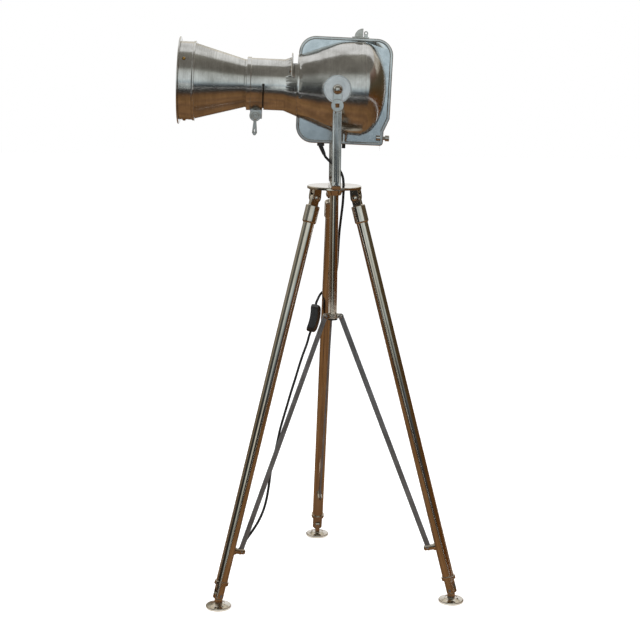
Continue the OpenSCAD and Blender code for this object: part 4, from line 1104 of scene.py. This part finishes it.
@dataclass(frozen=True)
class Card:
    """A card beside the lamp, out of the camera's sight, that only its polished metal shows.

    An upright card is bent round the lamp between two azimuths, in degrees from the camera's side and
    positive to the right. A flat card lies between two radii at one height. Its colours run from its first
    edge, the lower or inner one, to its last.
    """

    name: str
    colours: tuple[tuple[float, str], ...]
    azimuths: tuple[float, float]
    heights: tuple[float, float]
    radii: tuple[float, float] = (3.3, 3.3)
    strength: float = 1.0
    blotch: float = 0.12
    steps: int = 48

    def build(self) -> None:
        """Makes the card as a bent or flat strip of quads, hidden from camera, diffuse, shadow and
        transmission rays.
        """
        angle = np.radians(np.linspace(self.azimuths[0], self.azimuths[1], self.steps))
        way = np.stack([np.sin(angle), -np.cos(angle)], 1)
        edges = [np.column_stack([way * radius, np.full(self.steps, height)])
                 for radius, height in zip(self.radii, self.heights)]
        mesh = bpy.data.meshes.new(self.name)
        mesh.from_pydata(np.concatenate(edges).tolist(), [], grid_faces(2, self.steps, False).tolist())
        layer = mesh.attributes.new("own", "FLOAT", "POINT")
        layer.data.foreach_set("value", np.repeat([0.0, 1.0], self.steps).astype(np.float32))
        material, tree = blank_material(self.name)
        rise = add(tree, "ShaderNodeAttribute", attribute_name="own").outputs["Fac"]
        cloud = noise(tree, add(tree, "ShaderNodeTexCoord").outputs["Object"], 1.7, 3.0)
        shift = spread(tree, cloud, -self.blotch, self.blotch)
        spot = add(tree, "ShaderNodeMath", {0: rise, 1: shift}, operation="ADD").outputs["Value"]
        glow = add(tree, "ShaderNodeEmission", {"Color": ramp(tree, spot, self.colours),
                                                "Strength": self.strength}).outputs["Emission"]
        add(tree, "ShaderNodeOutputMaterial", {"Surface": glow})
        mesh.materials.append(material)
        obj = place_mesh(self.name, mesh)
        for ray in ("camera", "diffuse", "shadow", "transmission"):
            setattr(obj, f"visible_{ray}", False)


# The boards under and before the lamp are warm wood, dark ahead of it. The flags and strips stand behind
# them, and a pale band runs over them at the head's height, below a greyer ceiling
CARDS = (
    Card("wood_board", ((0.0, "876850"), (0.07, "7A5A40"), (0.13, "98724E"), (0.19, "7C5C42"),
                        (0.26, "9A744F"), (0.32, "80603F"), (0.39, "8C6846"), (0.46, "70523A"),
                        (0.55, "80603F"), (0.66, "6A4E36"), (0.8, "6C4C32"), (1.0, "5A4230")),
         (-180, 180), (0.004, 0.004), (0.02, 3.1), blotch=0.03),
    Card("dark_board", ((0.0, "5C4A3C"), (0.16, "47423E"), (1.0, "3C4246")),
         (-60, 36), (0.008, 0.008), (1.6, 3.15), blotch=0.04),
    Card("front_strip", ((0.0, "7E8486"), (0.4, "C6D0D0"), (0.85, "FFFFFF"), (1.0, "9AA4A8")),
         (-33, -8), (0.02, 1.12), strength=1.15),
    Card("black_flag", ((0.0, "2A2118"), (0.5, "3C3F40"), (1.0, "6E706C")), (-76, -33), (0.02, 1.9)),
    Card("grey_wall", ((0.0, "6C5A48"), (0.5, "948C7E"), (1.0, "B0B0A8")), (-170, -76), (0.02, 1.9)),
    Card("dark_flag", ((0.0, "3A3028"), (0.5, "3C4246"), (0.8, "55606A"), (1.0, "98A4AC")),
         (-8, 36), (0.02, 0.84)),
    Card("pale_low", ((0.0, "A4B0B8"), (1.0, "D4E2E8")), (-33, 36), (0.84, 1.14)),
    Card("brown_wall", ((0.0, "6E4015"), (0.5, "5A452C"), (1.0, "57503F")), (36, 150), (0.02, 1.5)),
    Card("pale_band", ((0.0, "D0E2EA"), (0.08, "F0F8FA"), (0.5, "E8EEEE"), (0.8, "CFD2CE"), (1.0, "9A9992")),
         (-32, 42), (1.14, 3.6), blotch=0.02),
    Card("brown_high", ((0.0, "57503F"), (0.3, "6E5A4A"), (0.6, "8A7268"), (1.0, "A89C90")),
         (42, 150), (1.5, 3.6), blotch=0.03),
    Card("grey_band", ((0.0, "7C7E7A"), (0.5, "A4A6A2"), (1.0, "8C8A84")), (-78, -32), (1.9, 3.6)),
    Card("ceiling", ((0.0, "98958C"), (0.4, "837F78"), (1.0, "807D76")),
         (-100, 100), (3.6, 3.6), (0.02, 3.3)),
    Card("rear_glow", ((0.0, "B8AE9C"), (0.4, "FFFAEE"), (1.0, "E0D6C6")), (100, 260), (2.0, 3.6)),
)


def main() -> None:
    """Builds the studio, the flex and the lamp, in that order."""
    logging.basicConfig(level=logging.INFO, format="%(message)s")
    studio = Studio()
    studio.camera()
    FlexFittings().build()
    Flex().build()
    Tripod().build()
    Head().build()
    studio.build()


if __name__ == "__main__":
    main()
